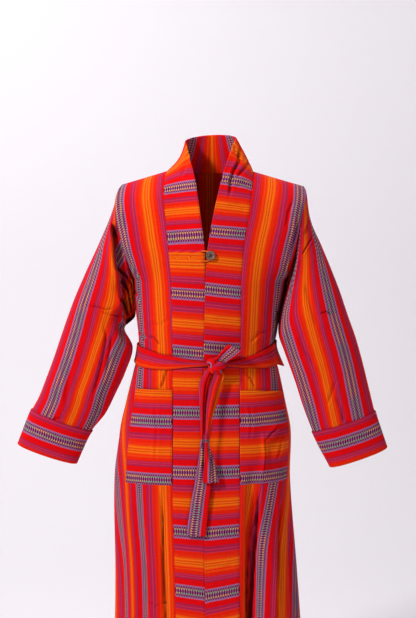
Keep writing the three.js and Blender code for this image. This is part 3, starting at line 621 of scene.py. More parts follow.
def upperPatch(bottom, top, guides):
    # rows from the underarm to the shoulder, led by curves at some of the columns
    s = steps(upperRows)[1:, None, None]
    columns = np.arange(len(bottom))
    rows = bottom + (top - bottom) * s
    for near, far in zip(guides, guides[1:]):
        share = ease((columns - near[0]) / (far[0] - near[0]))
        mine = (columns >= near[0]) & ((columns < far[0]) | (far is guides[-1]))
        for (column, curve), weight in ((near, 1 - share), (far, share)):
            straight = bottom[column] + (top[column] - bottom[column]) * s[:, 0]
            rows += (curve[1:] - straight)[:, None, :] * (weight * mine)[None, :, None]
    return rows


neck = {
    "depth": 64,            # from the neck points to the back of the neckline
    "drop": 7,
    "collarDepth": 63,
    "collarRise": 9,
    "columns": 50,
}


def neckArc(start, end, depth, rise):
    turn = np.pi * steps(neck["columns"])[:, None]
    line = start + (end - start) * (0.5 - 0.5 * np.cos(turn))
    return line + np.sin(turn) * np.array([0, depth, rise])


neckline = neckArc(seamCurve("right")[-1], seamCurve("left")[-1], neck["depth"], -neck["drop"])
collarEdge = neckArc(edgeCurve("right")[-1], edgeCurve("left")[-1], neck["collarDepth"],
                     neck["collarRise"])


def tuckEdges(grid, normals, edges, reach=3, drop=1.1):
    # the last rows before a seam roll inwards, towards the seam allowance
    fall = np.zeros(grid.shape[:2])
    rows, columns = grid.shape[:2]
    for edge in edges:
        for k in range(reach):
            amount = drop * (1 - k / reach) ** 2
            line = {"low": (k, slice(None)), "high": (rows - 1 - k, slice(None)),
                    "first": (slice(None), k), "last": (slice(None), columns - 1 - k)}[edge]
            fall[line] = np.maximum(fall[line], amount)
    return grid - normals * fall[..., None]


fronts = {
    "columns": 96,
    "creases": {
        "right": [
            ([(-156, -376), (-138, -364), (-122, -361), (-103, -382)], 2.5, 5.8),
            ([(-90, -428), (-96, -450), (-105, -474)], 2.7, 5.2),
            ([(-172, -198), (-163, -215), (-148, -232)], 2.3, 4.9),
            ([(-160, -352), (-148, -364), (-130, -357)], 2.3, 5.2),
            ([(-168, -262), (-156, -272), (-150, -290)], 2.7, 3.8),
            ([(-106, -688), (-102, -764), (-102, -855), (-97, -984), (-94, -1140)], 2.2, 7.0),
            ([(-138, -948), (-114, -957), (-86, -950)], 2.0, 3.5),
            ([(-146, -1060), (-138, -1130), (-142, -1216)], 3.9, 7.2),
            ([(-196, -62), (-184, -92), (-178, -130)], 3.5, 3.2),
            ([(-84, -318), (-104, -332), (-130, -330)], 3.5, 2.6),
        ],
        "left": [
            ([(115, -690), (108, -764), (100, -855), (93, -984), (87, -1190)], 3.0, 17.0),
            ([(198, -92), (191, -139), (181, -188), (176, -232)], 2.7, 4.6),
            ([(160, -300), (148, -330), (146, -372)], 3.1, 4.9),
            ([(92, -372), (112, -352), (136, -346)], 3.1, 3.8),
            ([(84, -440), (96, -452), (104, -472)], 2.3, 3.8),
            ([(168, -700), (160, -800), (158, -930), (150, -1100)], 3.9, 8.0),
            ([(190, -58), (176, -88), (172, -120)], 3.9, 3.2),
            ([(78, -1010), (70, -1100), (76, -1215)], 3.1, 5.8),
        ],
    },
    "seamStripe": -97.5,    # where a magenta stripe starts
    # how far the cloth lies past that at the band seam, by height
    "seamPlace": table("z left right", (-1220, 8, 12), (-690, 6, 10), (-450, 4, 7), (-300, 1, 3),
                       (-200, -2, 0), (-110, -7, -5), (-40, -10, -9)),
    # cloth taken up in folds under the surface, between two places across the front, by height
    "taken": {
        "left": [(36, 78, table("z amount", (-1220, 30), (-1000, 25), (-800, 15), (-700, 9), (-650, 0),
                                (0, 0)))],
        "right": [(62, 92, table("z amount", (-1220, 16), (-700, 16), (-560, 4), (-430, 6), (0, 0))),
                  (110, 150, table("z amount", (-1220, 78), (-980, 74), (-700, 50), (-560, 16), (-430, 0),
                                    (0, 0)))],
    },
    "overlaps": {
        "right": [([(-98, -1215), (-97, -984), (-102, -855), (-103, -764), (-106, -690)], 2.2, 5.5, 16)],
        "left": [([(120, -676), (113, -764), (105, -855), (97, -984), (91, -1210)], 3.0, 10.0, 34)],
    },
    "flat": (0.262, 1.235),
    "area": 0.232,
}


def frontGrid(side):
    t = steps(fronts["columns"])
    z = levels[:, None]
    lower = rowPoint(lerp(seamAngle(side, z), math.radians(sides[side] * 90), t), z)
    guides = [(0, seamCurve(side)), (fronts["columns"], armholeCurve(side, "front"))]
    return np.concatenate([lower, upperPatch(lower[-1], shoulderLine(side, fronts["columns"]), guides)])


for side, sign in sides.items():
    grid = frontGrid(side)
    normals = gridNormals(grid, sign)
    along = columnDistance(grid)
    u = rowDistance(grid)
    heights = grid[:, :1, 2]
    for first, last, amount in fronts["taken"][side]:
        u = u + read(amount, "amount", heights) * ease((u - first) / (last - first))
    u = u + read(fronts["seamPlace"], side, heights) + fronts["seamStripe"]
    grid = folded(grid, normals, fronts["creases"][side], fronts["overlaps"][side])
    normals = gridNormals(grid, sign)
    grid = turnedHem(tuckEdges(grid, normals, ["first", "last", "high"]), normals)
    sewn[f"front_{side}"] = seamLines(grid, normals, rows=body["hemSeam"])
    clothShell(f"front_panel_{side}", grid, normals, (u, along), sign, body["wall"],
               flat=fronts["flat"], replaces=f"front_{side}")
print("fronts done")


# the band: two halves from the hem to the centre back of the neck
bands = {
    "columns": 24,
    "wall": 2.2,
    "sag": {"left": -1, "right": 8, "back": 2},
    "seams": (0.55, 23.4),          # columns of its stitches
    "joinSeam": (-79, -11, -175.5),     # the join's stitches, across and height
    # heights at which the middles of the patterned stripes fall, lowest first
    "marks": {"right": (-922, -788, -655, -523, -390, -259, -133, -32),
              "left": (-924, -788, -654, -521, -381, -254, -127, -19)},
    "firstMark": {"right": 1, "left": 2},
    # the right half is joined from two lengths: height and the cloth's own place, counted in repeats
    "joins": {"right": [(-238, 6.211), (-222, 6.307), (-204, 6.43), (-182, 6.575), (-181, 6.48),
                        (-169, 6.572), (-167, 6.80)], "left": []},
    "tilt": {
        "right": table("z slope", (-1220, 0.16), (-990, 0.14), (-800, 0.06), (-600, 0), (-450, 0),
                       (-400, 0.07), (-230, 0.05), (-190, 0), (-165, 0), (-148, -0.08),
                       (-120, -0.08), (-30, -0.12)),
        "left": table("z slope", (-1220, -0.24), (-990, -0.22), (-800, -0.08), (-600, 0), (-450, 0),
                      (-400, 0.08), (-230, 0.12), (-120, 0.1), (-20, 0.18)),
    },
    "creases": {
        "right": [
            ([(-60, -12), (-48, 20), (-44, 44)], 3.5, 3.8),
            ([(-66, -560), (-44, -566), (-20, -560)], 2.7, 1.7),
            ([(-70, -1040), (-40, -1048), (-14, -1040)], 3.9, 2.3),
        ],
        "left": [
            ([(72, 62), (68, 24), (56, 4), (49, -20), (47, -58)], 3.2, 7.5),
            ([(97, 30), (84, 12), (60, -12)], 3.0, 4.5),
            ([(54, 70), (61, 46), (73, 20)], 2.8, 3.6),
            ([(98, -40), (80, -22), (58, -30)], 3.2, 2.6),
            ([(86, -84), (66, -70), (40, -70)], 3.9, 2.6),
            ([(62, -318), (40, -312), (12, -318)], 3.1, 1.7),
            ([(60, -860), (36, -868), (8, -862)], 3.9, 2.2),
        ],
    },
    "overlaps": {"right": [([(-4, -168), (-40, -167), (-92, -167)], 1.6, 1.8, 30)], "left": []},
    "turnRows": (22, 2),    # rows before the neck point between which the stripes turn round it
    "give": 1.05,
    "flat": (0.079, 1.41),
}


def bandGrid(side):
    t = steps(bands["columns"])
    z = levels[:, None]
    lower = rowPoint(lerp(seamAngle(side, z), edgeAngle(side, z), t), z)
    last, half = lower[-1], neck["columns"] // 2

    def collar(arc):
        return (arc if side == "right" else arc[::-1])[1:half + 2]

    seam = np.concatenate([seamCurve(side), collar(neckline)])
    edge = np.concatenate([edgeCurve(side), collar(collarEdge)])
    k = np.arange(1, upperRows + half + 1)
    rise = k / upperRows
    fade = np.maximum(0, 1 - rise)[:, None, None]
    past = np.clip((k - upperRows) / half, 0, 1)
    dip = lerp(bands["sag"][side] * ease(rise), bands["sag"]["back"], past)
    inward = unit(np.cross(edge[k] - seam[k], seam[k + 1] - seam[k - 1])) * sides[side]
    spot = seam[k][:, None] + (edge[k] - seam[k])[:, None] * t[None, :, None]
    spot = spot + (last - (last[0] + (last[-1] - last[0]) * t[:, None]))[None] * fade
    spot = spot + inward[:, None] * (dip[:, None] * np.sin(np.pi * t)[None])[..., None]
    return np.concatenate([lower, spot])


bandGrids = {}
for side, sign in sides.items():
    grid = bandGrid(side)
    bandGrids[side] = grid
    normals = gridNormals(grid, -sign)
    middle = bands["columns"] // 2
    along = columnDistance(grid)[:, middle]
    frontRows = len(levels) + upperRows
    places = [(z, k + bands["firstMark"][side]) for k, z in enumerate(bands["marks"][side])]
    marks, places = np.array(sorted(places + bands["joins"][side])).T
    marks = np.interp(marks, grid[:frontRows, middle, 2], along[:frontRows])
    places = places * stripes["repeat"]
    early, late = bands["turnRows"]
    onFront = 1 - ease((np.arange(len(grid)) - frontRows + early) / (early - late))
    tilt = read(bands["tilt"][side], "slope", grid[:, middle, 2])
    shift = (grid[..., 2] - grid[:, middle:middle + 1, 2]) * bands["give"]
    shift = shift + tilt[:, None] * (grid[..., 0] - grid[:, middle:middle + 1, 0])
    place = along[:, None] + shift * onFront[:, None]
    stripe = np.interp(place, marks, places)
    stripe = stripe + np.minimum(place - marks[0], 0) + np.maximum(place - marks[-1], 0)
    across = rowDistance(grid)
    grid = folded(grid, normals, bands["creases"][side], bands["overlaps"][side])
    normals = gridNormals(grid, -sign)
    grid = tuckEdges(grid, normals, ["first"])
    sewn[f"band_{side}"] = seamLines(grid, normals, bands["seams"])
    if bands["joins"][side]:
        start, end, z = bands["joinSeam"]
        seam = [(x, onGrid(grid, x, z) - 0.4, z) for x in np.linspace(start, end, 30)]
        sewn[f"band_{side}"].append(np.array(seam))
    clothShell(f"band_strip_{side}", grid, normals, (stripe, across), -sign, bands["wall"],
               material="band", flat=bands["flat"], replaces=f"band_{side}")
print("bands done")

# the back
backPanel = {
    "shoulder": 40,         # columns along a shoulder
    "shoulderAngle": 61,    # degrees from the side seam to the neck point's column
    "start": 64.8,          # the cloth's own place at the centre back
    "centre": [(101, -185), (100, -130), (92, -72), (78, -28)],
    "flat": (0.56, 1.235),
    "area": 0.55,
    "creases": [
        ([(-150, -372), (-128, -360), (-96, -374)], 2.8, 6.4),
        ([(128, -352), (104, -366), (84, -384)], 2.8, 6.1),
        ([(-60, -352), (-40, -368), (-36, -386)], 2.7, 4.6),
        ([(30, -360), (44, -372), (46, -386)], 2.7, 4.1),
        ([(-104, -428), (-110, -470), (-128, -520)], 3.1, 5.8),
        ([(66, -426), (74, -470), (70, -530)], 3.1, 5.8),
        ([(-176, -204), (-160, -226), (-140, -236)], 3.1, 6.4),
        ([(180, -200), (164, -226), (146, -240)], 3.1, 6.4),
        ([(-188, -120), (-176, -150), (-160, -166)], 3.9, 4.3),
        ([(192, -112), (180, -144), (160, -160)], 3.9, 4.3),
        ([(-54, -700), (-60, -860), (-52, -1010), (-58, -1180)], 3.9, 7.2),
        ([(118, -640), (126, -800), (120, -980), (128, -1150)], 3.9, 7.2),
        ([(20, -800), (26, -940), (22, -1120)], 3.5, 5.2),
    ],
}


def backGrid():
    wide, far = backPanel["shoulder"], backPanel["shoulderAngle"]
    turns = np.concatenate([
        -90 - far * steps(wide), lerp(-90 - far, -270 + far, steps(neck["columns"]))[1:],
        (-270 + far * (1 - steps(wide)))[1:],
    ])
    lower = rowPoint(np.radians(turns), levels[:, None])
    top = np.concatenate([shoulderLine("right", wide)[::-1], neckline[1:],
                          shoulderLine("left", wide)[1:]])
    middle = wide + neck["columns"] // 2
    x = (lower[-1, middle, 0] + top[middle, 0]) / 2
    spine = [(x, y, z) for y, z in backPanel["centre"]]
    guides = [(0, armholeCurve("right", "back")),
              (middle, spaced([lower[-1, middle], *spine, top[middle]], upperRows)),
              (len(turns) - 1, armholeCurve("left", "back"))]
    return np.concatenate([lower, upperPatch(lower[-1], top, guides)]), middle


grid, middle = backGrid()
normals = gridNormals(grid, -1)
along = columnDistance(grid)
u = rowDistance(grid, middle) + backPanel["start"]
grid = folded(grid, normals, backPanel["creases"], face=1)
normals = gridNormals(grid, -1)
grid = turnedHem(tuckEdges(grid, normals, ["first", "last", "high"]), normals)
sewn["back"] = seamLines(grid, normals, rows=body["hemSeam"])
clothShell("back_panel", grid, normals, (u, along), -1, body["wall"],
           flat=backPanel["flat"], replaces="back")
print("back done")

# sleeves and cuffs
sleeves = {
    "halfColumns": 66,
    "rows": 224,
    "power": 0.93,
    "cuffFrom": 8.88,
    "cuffRows": 22,
    "cuffWall": 2.2,
    "cuffLift": 2.75,
    "cuffStart": -38,
    "cuffSeams": (0.7, 21.3),           # rows of its stitches
    # the cloth's own place at the outer edge, by section
    "top": {
        "right": table("section place", (0, 8), (0.9, -8), (1.5, -20), (2.25, -40), (3.4, -49),
                       (4.25, -53), (5.5, -54), (7, -54), (10, -51)),
        "left": table("section place", (0, 4), (0.8, -8), (1.4, -24), (2.3, -43), (3.6, -53),
                      (4.7, -57), (5.75, -58), (7, -57), (10, -56)),
    },
    # cloth taken up in folds down the front, between two distances from the outer edge
    "taken": {
        "right": (78, 150, table("section amount", (0, 0), (3, 0), (4.2, 14), (5.5, 28), (10, 32))),
        "left": (84, 150, table("section amount", (0, 0), (3, 0), (4.5, 10), (7, 20), (10, 30))),
    },
    # cloth turned away over the outer edge, by section
    "turned": {
        "right": table("section amount", (0, 4), (1.2, 9), (3, 11), (4.6, 7), (6.4, 2), (10, 0)),
    },
    # under the right arm the cloth folds behind itself, and its stripes run slanting there
    "foldEdge": {
        "right": [(-160, -384), (-171, -366), (-184, -343), (-190, -320), (-192, -294), (-195, -258),
                  (-198, -227), (-205, -207), (-209, -183), (-211, -152), (-215, -125), (-217, -100)],
        "left": [(197, -178), (186, -231), (177, -260), (167, -300), (156, -352)],
    },
    "overlap": {"right": (26, 90), "left": (24, 60)},      # depth and reach behind the fold
    "slant": [(-238, -268), (-205, -201), (-192, -179), (-180, -154), (-150, -95)],
    "creases": {
        "right": [
            ([(-270, -292), (-243, -295), (-225, -301), (-202, -296)], 2.2, 4.4),
            ([(-240, -303), (-216, -313), (-192, -318)], 2.4, 3.4),
            ([(-230, -325), (-225, -360), (-230, -391), (-240, -436), (-258, -500)], 3.1, 6.4),
            ([(-212, -352), (-218, -391), (-226, -446)], 2.7, 5.2),
            ([(-204, -206), (-187, -227), (-168, -247)], 2.7, 8.7),
            ([(-196, -236), (-178, -265), (-172, -297), (-168, -324)], 2.7, 10.2),
            ([(-194, -268), (-187, -301), (-176, -330)], 2.5, 8.7),
            ([(-214, -112), (-206, -136), (-198, -150)], 2.7, 4.9),
            ([(-300, -420), (-312, -470), (-318, -520)], 4.7, 3.8),
            ([(-352, -560), (-340, -545), (-322, -548)], 2.8, 3.8),
        ],
        "left": [
            ([(205, -182), (218, -161), (233, -138)], 1.9, 4.9),
            ([(246, -308), (261, -304), (275, -311)], 1.9, 4.6),
            ([(284, -492), (297, -524), (301, -556)], 2.8, 6.4),
            ([(264, -516), (274, -487), (283, -455)], 2.8, 4.6),
            ([(214, -236), (226, -290), (242, -340)], 4.7, 4.6),
            ([(226, -76), (222, -110), (212, -140)], 3.1, 3.5),
            ([(196, -352), (214, -392), (240, -424)], 3.9, 4.3),
        ],
    },
    "backCreases": {
        "right": [
            ([(-262, -288), (-236, -300), (-206, -302)], 2.5, 5.8),
            ([(-232, -330), (-228, -380), (-242, -440)], 3.1, 6.1),
            ([(-208, -204), (-192, -230), (-174, -252)], 2.8, 6.7),
        ],
        "left": [
            ([(208, -196), (222, -170), (236, -150)], 2.3, 4.9),
            ([(236, -318), (256, -308), (280, -312)], 2.5, 5.5),
            ([(270, -500), (280, -470), (292, -440)], 3.0, 5.2),
            ([(190, -240), (200, -290), (214, -340)], 3.9, 6.1),
        ],
    },
    "flat": (0.45, 0.50),
    "area": 0.20,
    "cuffFlat": (0.30, 0.080),
}
sleeveSections = {
    "left": table(
        "outX outZ inX inZ depth y",
        (230, -110, 170, -266, 60, -4), (253, -163, 162, -297, 58, -11),
        (273, -211, 158, -330, 54, -20), (293, -262, 158, -362, 51, -27),
        (311, -315, 170, -397, 49, -31), (330, -368, 182, -430, 46, -33),
        (345, -420, 196, -469, 43, -34), (359, -475, 212, -519, 39, -35),
        (376, -541, 239, -588, 34, -36), (401, -615, 276, -659, 30, -37),
    ),
    "right": table(
        "outX outZ inX inZ depth y",
        (-217, -97, -164, -266, 60, -3), (-244, -160, -163, -294, 58, -7),
        (-271, -218, -164, -322, 55, -11), (-299, -282, -187, -348, 52, -15),
        (-324, -350, -169, -391, 50, -18), (-346, -414, -185, -446, 48, -20),
        (-366, -467, -209, -498, 46, -22), (-380, -502, -231, -541, 40, -24),
        (-398, -536, -266, -585, 34, -26), (-427, -609, -298, -653, 30, -28),
    ),
}
# sections where a fold starts and ends, degrees round the sleeve there, half width, depth
sleeveFolds = {
    "left": [(0.6, 3.6, 150, 112, 24, -9), (3.4, 7, 250, 215, 26, -8), (6.4, 9.6, 118, 140, 26, -7)],
    "right": [(0.7, 4.6, 82, 168, 26, -19), (3.2, 6.6, 246, 208, 26, -9), (5.4, 8.8, 66, 108, 24, -6)],
}


def sleeveGrid(side, places):
    # columns run from the underarm over the back to the outer edge, and down the front
    rows = sleeveSections[side]
    half = sleeves["halfColumns"]
    turn = np.radians(np.linspace(180, 540, 2 * half + 1))
    back, front = (spaced(armholeCurve(side, face), half) for face in ("back", "front"))
    start = np.concatenate([back, front[::-1][1:]])

    def bend(wave):
        return np.sign(wave) * np.abs(wave) ** sleeves["power"]

    outer, inner = (np.stack([rows[f"{edge}X"], rows["y"], rows[f"{edge}Z"]], -1) for edge in ("out", "in"))
    middle, reach = (outer + inner) / 2, (outer - inner) / 2
    offset = reach[:, None] * bend(np.cos(turn))[None, :, None]
    offset[..., 1] = -rows["depth"][:, None] * bend(np.sin(turn))[None]
    section = np.arange(1, len(rows["y"]) + 1)[:, None]
    degreesRound = np.degrees(turn)[None] % 360
    fall = np.zeros(offset.shape[:2])
    for first, last, there, then, width, depth in sleeveFolds[side]:
        down = (section - first) / (last - first)
        apart = np.clip(np.abs(degreesRound - lerp(there, then, down)) / width, 0, 1)
        fall += depth * np.sin(np.pi * np.clip(down, 0, 1)) * (0.5 + 0.5 * np.cos(np.pi * apart))
    size = np.linalg.norm(offset, axis=-1)
    points = middle[:, None] + offset * (1 + fall / size)[..., None]
    return catmull(np.concatenate([start[None], points]), places)


for side, sign in sides.items():
    places = np.linspace(0, 9, sleeves["rows"] + 1)
    wide = sleeveGrid(side, places)
    down = places[:, None]
    u = rowDistance(wide, sleeves["halfColumns"])
    near, far, amount = sleeves["taken"][side]
    u = u + read(amount, "amount", down) * ease((u - near) / (far - near))
    if side in sleeves["turned"]:
        u = u - read(sleeves["turned"][side], "amount", down) * (1 - ease((u - 2) / 32))
    u = u + read(sleeves["top"][side], "place", down)
    along = -columnDistance(wide)
    edge = sleeves["foldEdge"][side]
    wideNormals = gridNormals(wide, sign)
    if side == "right":
        past, share = fromLine(wide, edge)
        slanted = stripes["repeat"] + fromLine(wide, sleeves["slant"])[0]
        under = ease(past / 5) * ease((1 - share) / 0.1) * ease((share - 0.12) / 0.1)
        u = lerp(u, slanted, under * towards(wideNormals, -1))
    grid = wide[:, :-1]
    normals = gridNormals(grid, sign, True)
    grid = folded(grid, normals, sleeves["creases"][side], [(edge, 4.5, *sleeves["overlap"][side])])
    grid = folded(grid, normals, sleeves["backCreases"][side], face=1)
    normals = gridNormals(grid, sign, True)
    grid = tuckEdges(grid, normals, ["low"])
    clothShell(f"sleeve_tube_{side}", grid, normals, (u, along), sign, body["wall"],
               closed=True, flat=sleeves["flat"],
               replaces=f"sleeve_{side}")

    places = np.linspace(sleeves["cuffFrom"], 10, sleeves["cuffRows"] + 1)
    wide = sleeveGrid(side, places)
    grid = wide[:, :-1]
    normals = gridNormals(grid, sign, True)
    stripe = columnDistance(wide) + sleeves["cuffStart"]
    around = rowDistance(wide)
    grid = grid + normals * sleeves["cuffLift"]
    sewn[f"cuff_{side}"] = seamLines(grid, normals, rows=sleeves["cuffSeams"])
    clothShell(f"cuff_band_{side}", grid, normals, (stripe, around), sign,
               sleeves["cuffWall"], closed=True, material="band", flat=sleeves["cuffFlat"],
               replaces=f"cuff_{side}")
print("sleeves and cuffs done")

# pockets
pockets = {
    "foot": -684,
    "mouth": -474,
    "reach": {"left": (0.72, 0.8), "right": (0.54, 0.6)},    # share of the front, at foot and mouth
    "rows": 80,
    "columns": 56,
    "lift": 1.6,
    "wall": 1.0,
    "gape": {"left": 3.5, "right": 4.5},
    "creases": {
        "right": [
            ([(-118, -500), (-112, -560), (-116, -640)], 3.9, 2.9),
            ([(-170, -600), (-150, -606), (-128, -600)], 3.1, 2.3),
        ],
        "left": [
            ([(122, -590), (139, -574), (158, -560)], 2.5, 6.1),
            ([(124, -560), (127, -618), (123, -676)], 2.0, 4.9),
            ([(150, -640), (160, -610), (164, -580)], 3.1, 4.1),
            ([(90, -500), (96, -540), (92, -590)], 3.5, 2.6),
        ],
    },
    "start": {"left": 244.5, "right": -12.0},
    "sideSeams": (1.3, 54.7),           # columns and rows of its stitches
    "crossSeams": (1.1, 77.0),
    "flat": (0.14, 0.215),
}
for side, sign in sides.items():
    z = np.linspace(pockets["foot"], pockets["mouth"], pockets["rows"] + 1)[:, None]
    foot, mouth = pockets["reach"][side]
    up, over = steps(pockets["rows"])[:, None], steps(pockets["columns"])[None]
    grid = rowPoint(lerp(seamAngle(side, z), math.radians(sign * 90), lerp(foot, mouth, up) * over), z)
    normals = gridNormals(grid, sign)
    gape = pockets["gape"][side] * ease((up - 0.8) / 0.2) * np.sin(np.pi * over) ** 0.8
    grid = grid + normals * (pockets["lift"] + gape)[..., None]
    stripe = columnDistance(grid) + pockets["start"][side]
    across = rowDistance(grid)
    grid = folded(grid, normals, pockets["creases"][side], swell=1.1)
    normals = gridNormals(grid, sign)
    grid = tuckEdges(grid, normals, ["low", "first", "last"], reach=2, drop=0.8)
    sewn[f"pocket_{side}"] = seamLines(grid, normals, pockets["sideSeams"], pockets["crossSeams"])
    clothShell(f"patch_pocket_{side}", grid, normals, (stripe, across), sign,
               pockets["wall"], material="band", flat=pockets["flat"],
               replaces=f"pocket_{side}")
print("pockets done")

# the belt's turn round the waist
belt = {
    "columns": 280,
    "rows": 26,
    "lift": 2.1,
    "wall": 2.2,
    "crown": 1.2,
    "seams": (1.2, 24.8),
    "bottomPlace": 53,          # the cloth's own place at its two edges
    "topPlace": 17.5,
    "flat": (0.9, 0.042),
}
beltRing = table(
    "angle top bottom flare",
    (-180, -386, -423, 0), (-90, -385, -424, 1), (-60, -389, -429, 0), (-35, -398, -430, 0),
    (-22, -402, -427, 0), (-8, -409, -422, 0), (3, -412, -420, 0), (14, -412, -421, 0),
    (24, -408, -424, 0), (38, -400, -427, 0), (55, -390, -429, 0), (76, -380, -428, 1),
    (92, -378, -436, 11), (125, -384, -430, 6), (180, -386, -423, 0),
)
# lengthwise folds: angle and share of the width at both ends, width in shares, and depth
beltCreases = [
    (-86, 0.30, -6, 0.62, 0.07, 1.6), (-52, 0.84, -4, 0.46, 0.06, 1.3), (-70, 0.12, -20, 0.22, 0.06, 1.2),
    (10, 0.46, 66, 0.24, 0.07, 1.8), (12, 0.60, 84, 0.80, 0.06, 1.3), (40, 0.52, 88, 0.58, 0.05, 1.0),
    (98, 0.70, 170, 0.55, 0.07, 1.4), (-172, 0.40, -100, 0.28, 0.07, 1.5), (120, 0.30, 158, 0.26, 0.06, 1.2),
]
t = steps(belt["rows"])[:, None]
angle = np.linspace(-180, 180, belt["columns"] + 1)[None]
top, bottom = read(beltRing, "top", angle), read(beltRing, "bottom", angle)
flare = read(beltRing, "flare", angle) * (1 - t)
z = lerp(bottom, top, t)
lift = belt["lift"] + belt["wall"] + flare + belt["crown"] * np.sin(np.pi * t)
wide = bodyPoint(np.radians(angle), z, lift)
up = columnDistance(wide)
stripe = lerp(belt["bottomPlace"], belt["topPlace"], up / up[-1:])
fall = 0 * z
for first, low, last, high, width, depth in beltCreases:
    down = np.clip((angle - first) / (last - first), 0, 1)
    fade = ease(down / 0.2) * ease((1 - down) / 0.2)
    fall = fall - depth * fade * np.exp(-(((t - lerp(low, high, down)) / width) ** 2))
grid = wide[:, :-1]
normals = gridNormals(grid, 1, True)
grid = grid + normals * fall[:, :-1, None]
normals = gridNormals(grid, 1, True)
sewn["belt"] = seamLines(grid, normals, rows=belt["seams"])
clothShell("belt_turn", grid, normals, (stripe, rowDistance(wide)), 1, belt["wall"],
           closed=True, material="belt", flat=belt["flat"],
           replaces="belt_waist")
print("belt done")


# the belt's ends, the loop of the bow and the knot
# The doubled belt shows red, magenta and orange-red on one face, and a patterned stripe with red on
# the other. place is the cloth's own place at the two edges of what shows.
ends = {
    "rows": 120,
    "columns": 22,
    "wall": 1.7,
    "crown": 1.6,
    "sideSeams": (1.4, 20.6),
    "crossSeam": [118.4],
    "bowRows": 80,
}
tails = {
    "long": table(
        "z left right leftOut rightOut leftPlace rightPlace ridge",
        (-424, 0, 14, 12, 13, 95, 113, 1.5), (-440, -10, 5, 12, 14, 93.5, 114, 2.5),
        (-458, -17.4, -0.5, 11, 15, 93.5, 114, 4), (-482, -18, -4.2, 10, 15, 94, 114, 5),
        (-507, -17.5, -7.4, 9, 15, 95, 114, 5), (-531, -16.5, -7.8, 9, 14, 94, 114, 5),
        (-549, -15.2, -8.4, 8, 13, 99, 114, 4), (-568, -14, -8.8, 8, 12, 104, 114, 3),
        (-584, -15, -9, 7, 11, 112, 126, 2.5), (-605, -17, -7.5, 7, 10, 117, 134, 3),
        (-630, -20, -6, 7, 9, 117, 138, 3), (-655, -24, 0, 6, 8, 117, 144, 2),
        (-680, -27.5, 5.5, 6, 8, 116, 154, 1.5), (-705, -33.4, 3.2, 6, 8, 116, 154, 1),
        (-755, -40.8, -2.9, 6, 7, 116, 154, 0.7), (-794, -45, -6, 6, 7, 116, 154, 0.4),
    ),
    "short": table(
        "z left right leftOut rightOut leftPlace rightPlace ridge",
        (-424, 14, 25, 17, 15, 97, 76, 1), (-440, 13, 34, 21, 14, 102, 68, 2),
        (-458, 5.6, 31, 24, 14, 99, 64, 3), (-482, 0.6, 24, 26, 16, 98, 64, 4),
        (-507, -3, 16, 27, 18, 97, 66, 4.5), (-531, -3.6, 8, 28, 19, 94, 68, 4.5),
        (-549, -3.8, 4.5, 28, 20, 96, 72, 4), (-568, -6, 2.6, 28, 20, 99, 82, 3),
        (-586, -6.8, 1.2, 28, 19, 158, 140, 3), (-605, -7.6, 5.8, 27, 17, 158, 130, 4),
        (-630, -7.8, 13, 24, 15, 157, 122, 4), (-655, -9.5, 18.5, 20, 14, 157, 118, 3),
        (-673, -10.5, 22, 17, 13, 157, 116, 2),
    ),
}


for name, rows in tails.items():
    rows = {key: values[::-1] for key, values in rows.items()}
    z = np.linspace(rows["z"][-1], rows["z"][0], ends["rows"] + 1)[:, None]
    t = steps(ends["columns"])[None]
    left, right = read(rows, "left", z), read(rows, "right", z)
    out = lerp(read(rows, "leftOut", z), read(rows, "rightOut", z), t)
    out = out + ends["crown"] * np.sin(np.pi * t)
    # a lengthwise fold stands up from the face
    ridgeAt = 0.44 + 0.07 * np.sin(z / 41)
    ridge = np.exp(-(((t - ridgeAt) / 0.13) ** 2)) - 0.6 * np.exp(-(((t - ridgeAt - 0.26) / 0.1) ** 2))
    out = out + read(rows, "ridge", z) * ridge
    y = -read(bodySections, "front", z) - out
    x = lerp(left, right, t) + 0.5 * np.sin(z / 17 + 2 * t)
    grid = np.stack(np.broadcast_arrays(x, y, z), -1)
    normals = gridNormals(grid, 1)
    stripe = lerp(read(rows, "leftPlace", z), read(rows, "rightPlace", z), t)
    long = float(rows["z"][-1] - rows["z"][0])
    sewn[f"belt_{name}"] = seamLines(grid, normals, ends["sideSeams"], ends["crossSeam"])
    clothShell(f"belt_end_{name}", grid, normals, (stripe, columnDistance(grid)), 1,
               ends["wall"], material="belt", flat=(0.03, long * 1.04 * mm),
               replaces=f"belt_tail_{name}", rimRound=0.8)

bowRows = table(
    "leftX leftZ rightX rightZ y leftPlace rightPlace",
    (14, -410, 30, -418, -120, 110, 141), (22, -395, 44, -405, -128, 106, 147),
    (32, -382, 59, -396, -129, 104, 149), (42, -373, 71, -387, -125, 104, 149),
    (45, -370, 73.5, -384.5, -118, 104, 149), (43, -373, 71, -388, -112, 104, 149),
    (33, -384, 57, -397, -109.5, 106, 147), (15, -411, 29, -418, -108.5, 110, 141),
)
left, right = (spaced(np.stack([bowRows[f"{side}X"], bowRows["y"], bowRows[f"{side}Z"]], 1), ends["bowRows"])
               for side in ("left", "right"))
t = steps(ends["columns"])[None, :, None]
grid = left[:, None] + (right - left)[:, None] * t
normals = gridNormals(grid, 1)
share = steps(ends["bowRows"]) * (len(bowRows["y"]) - 1)
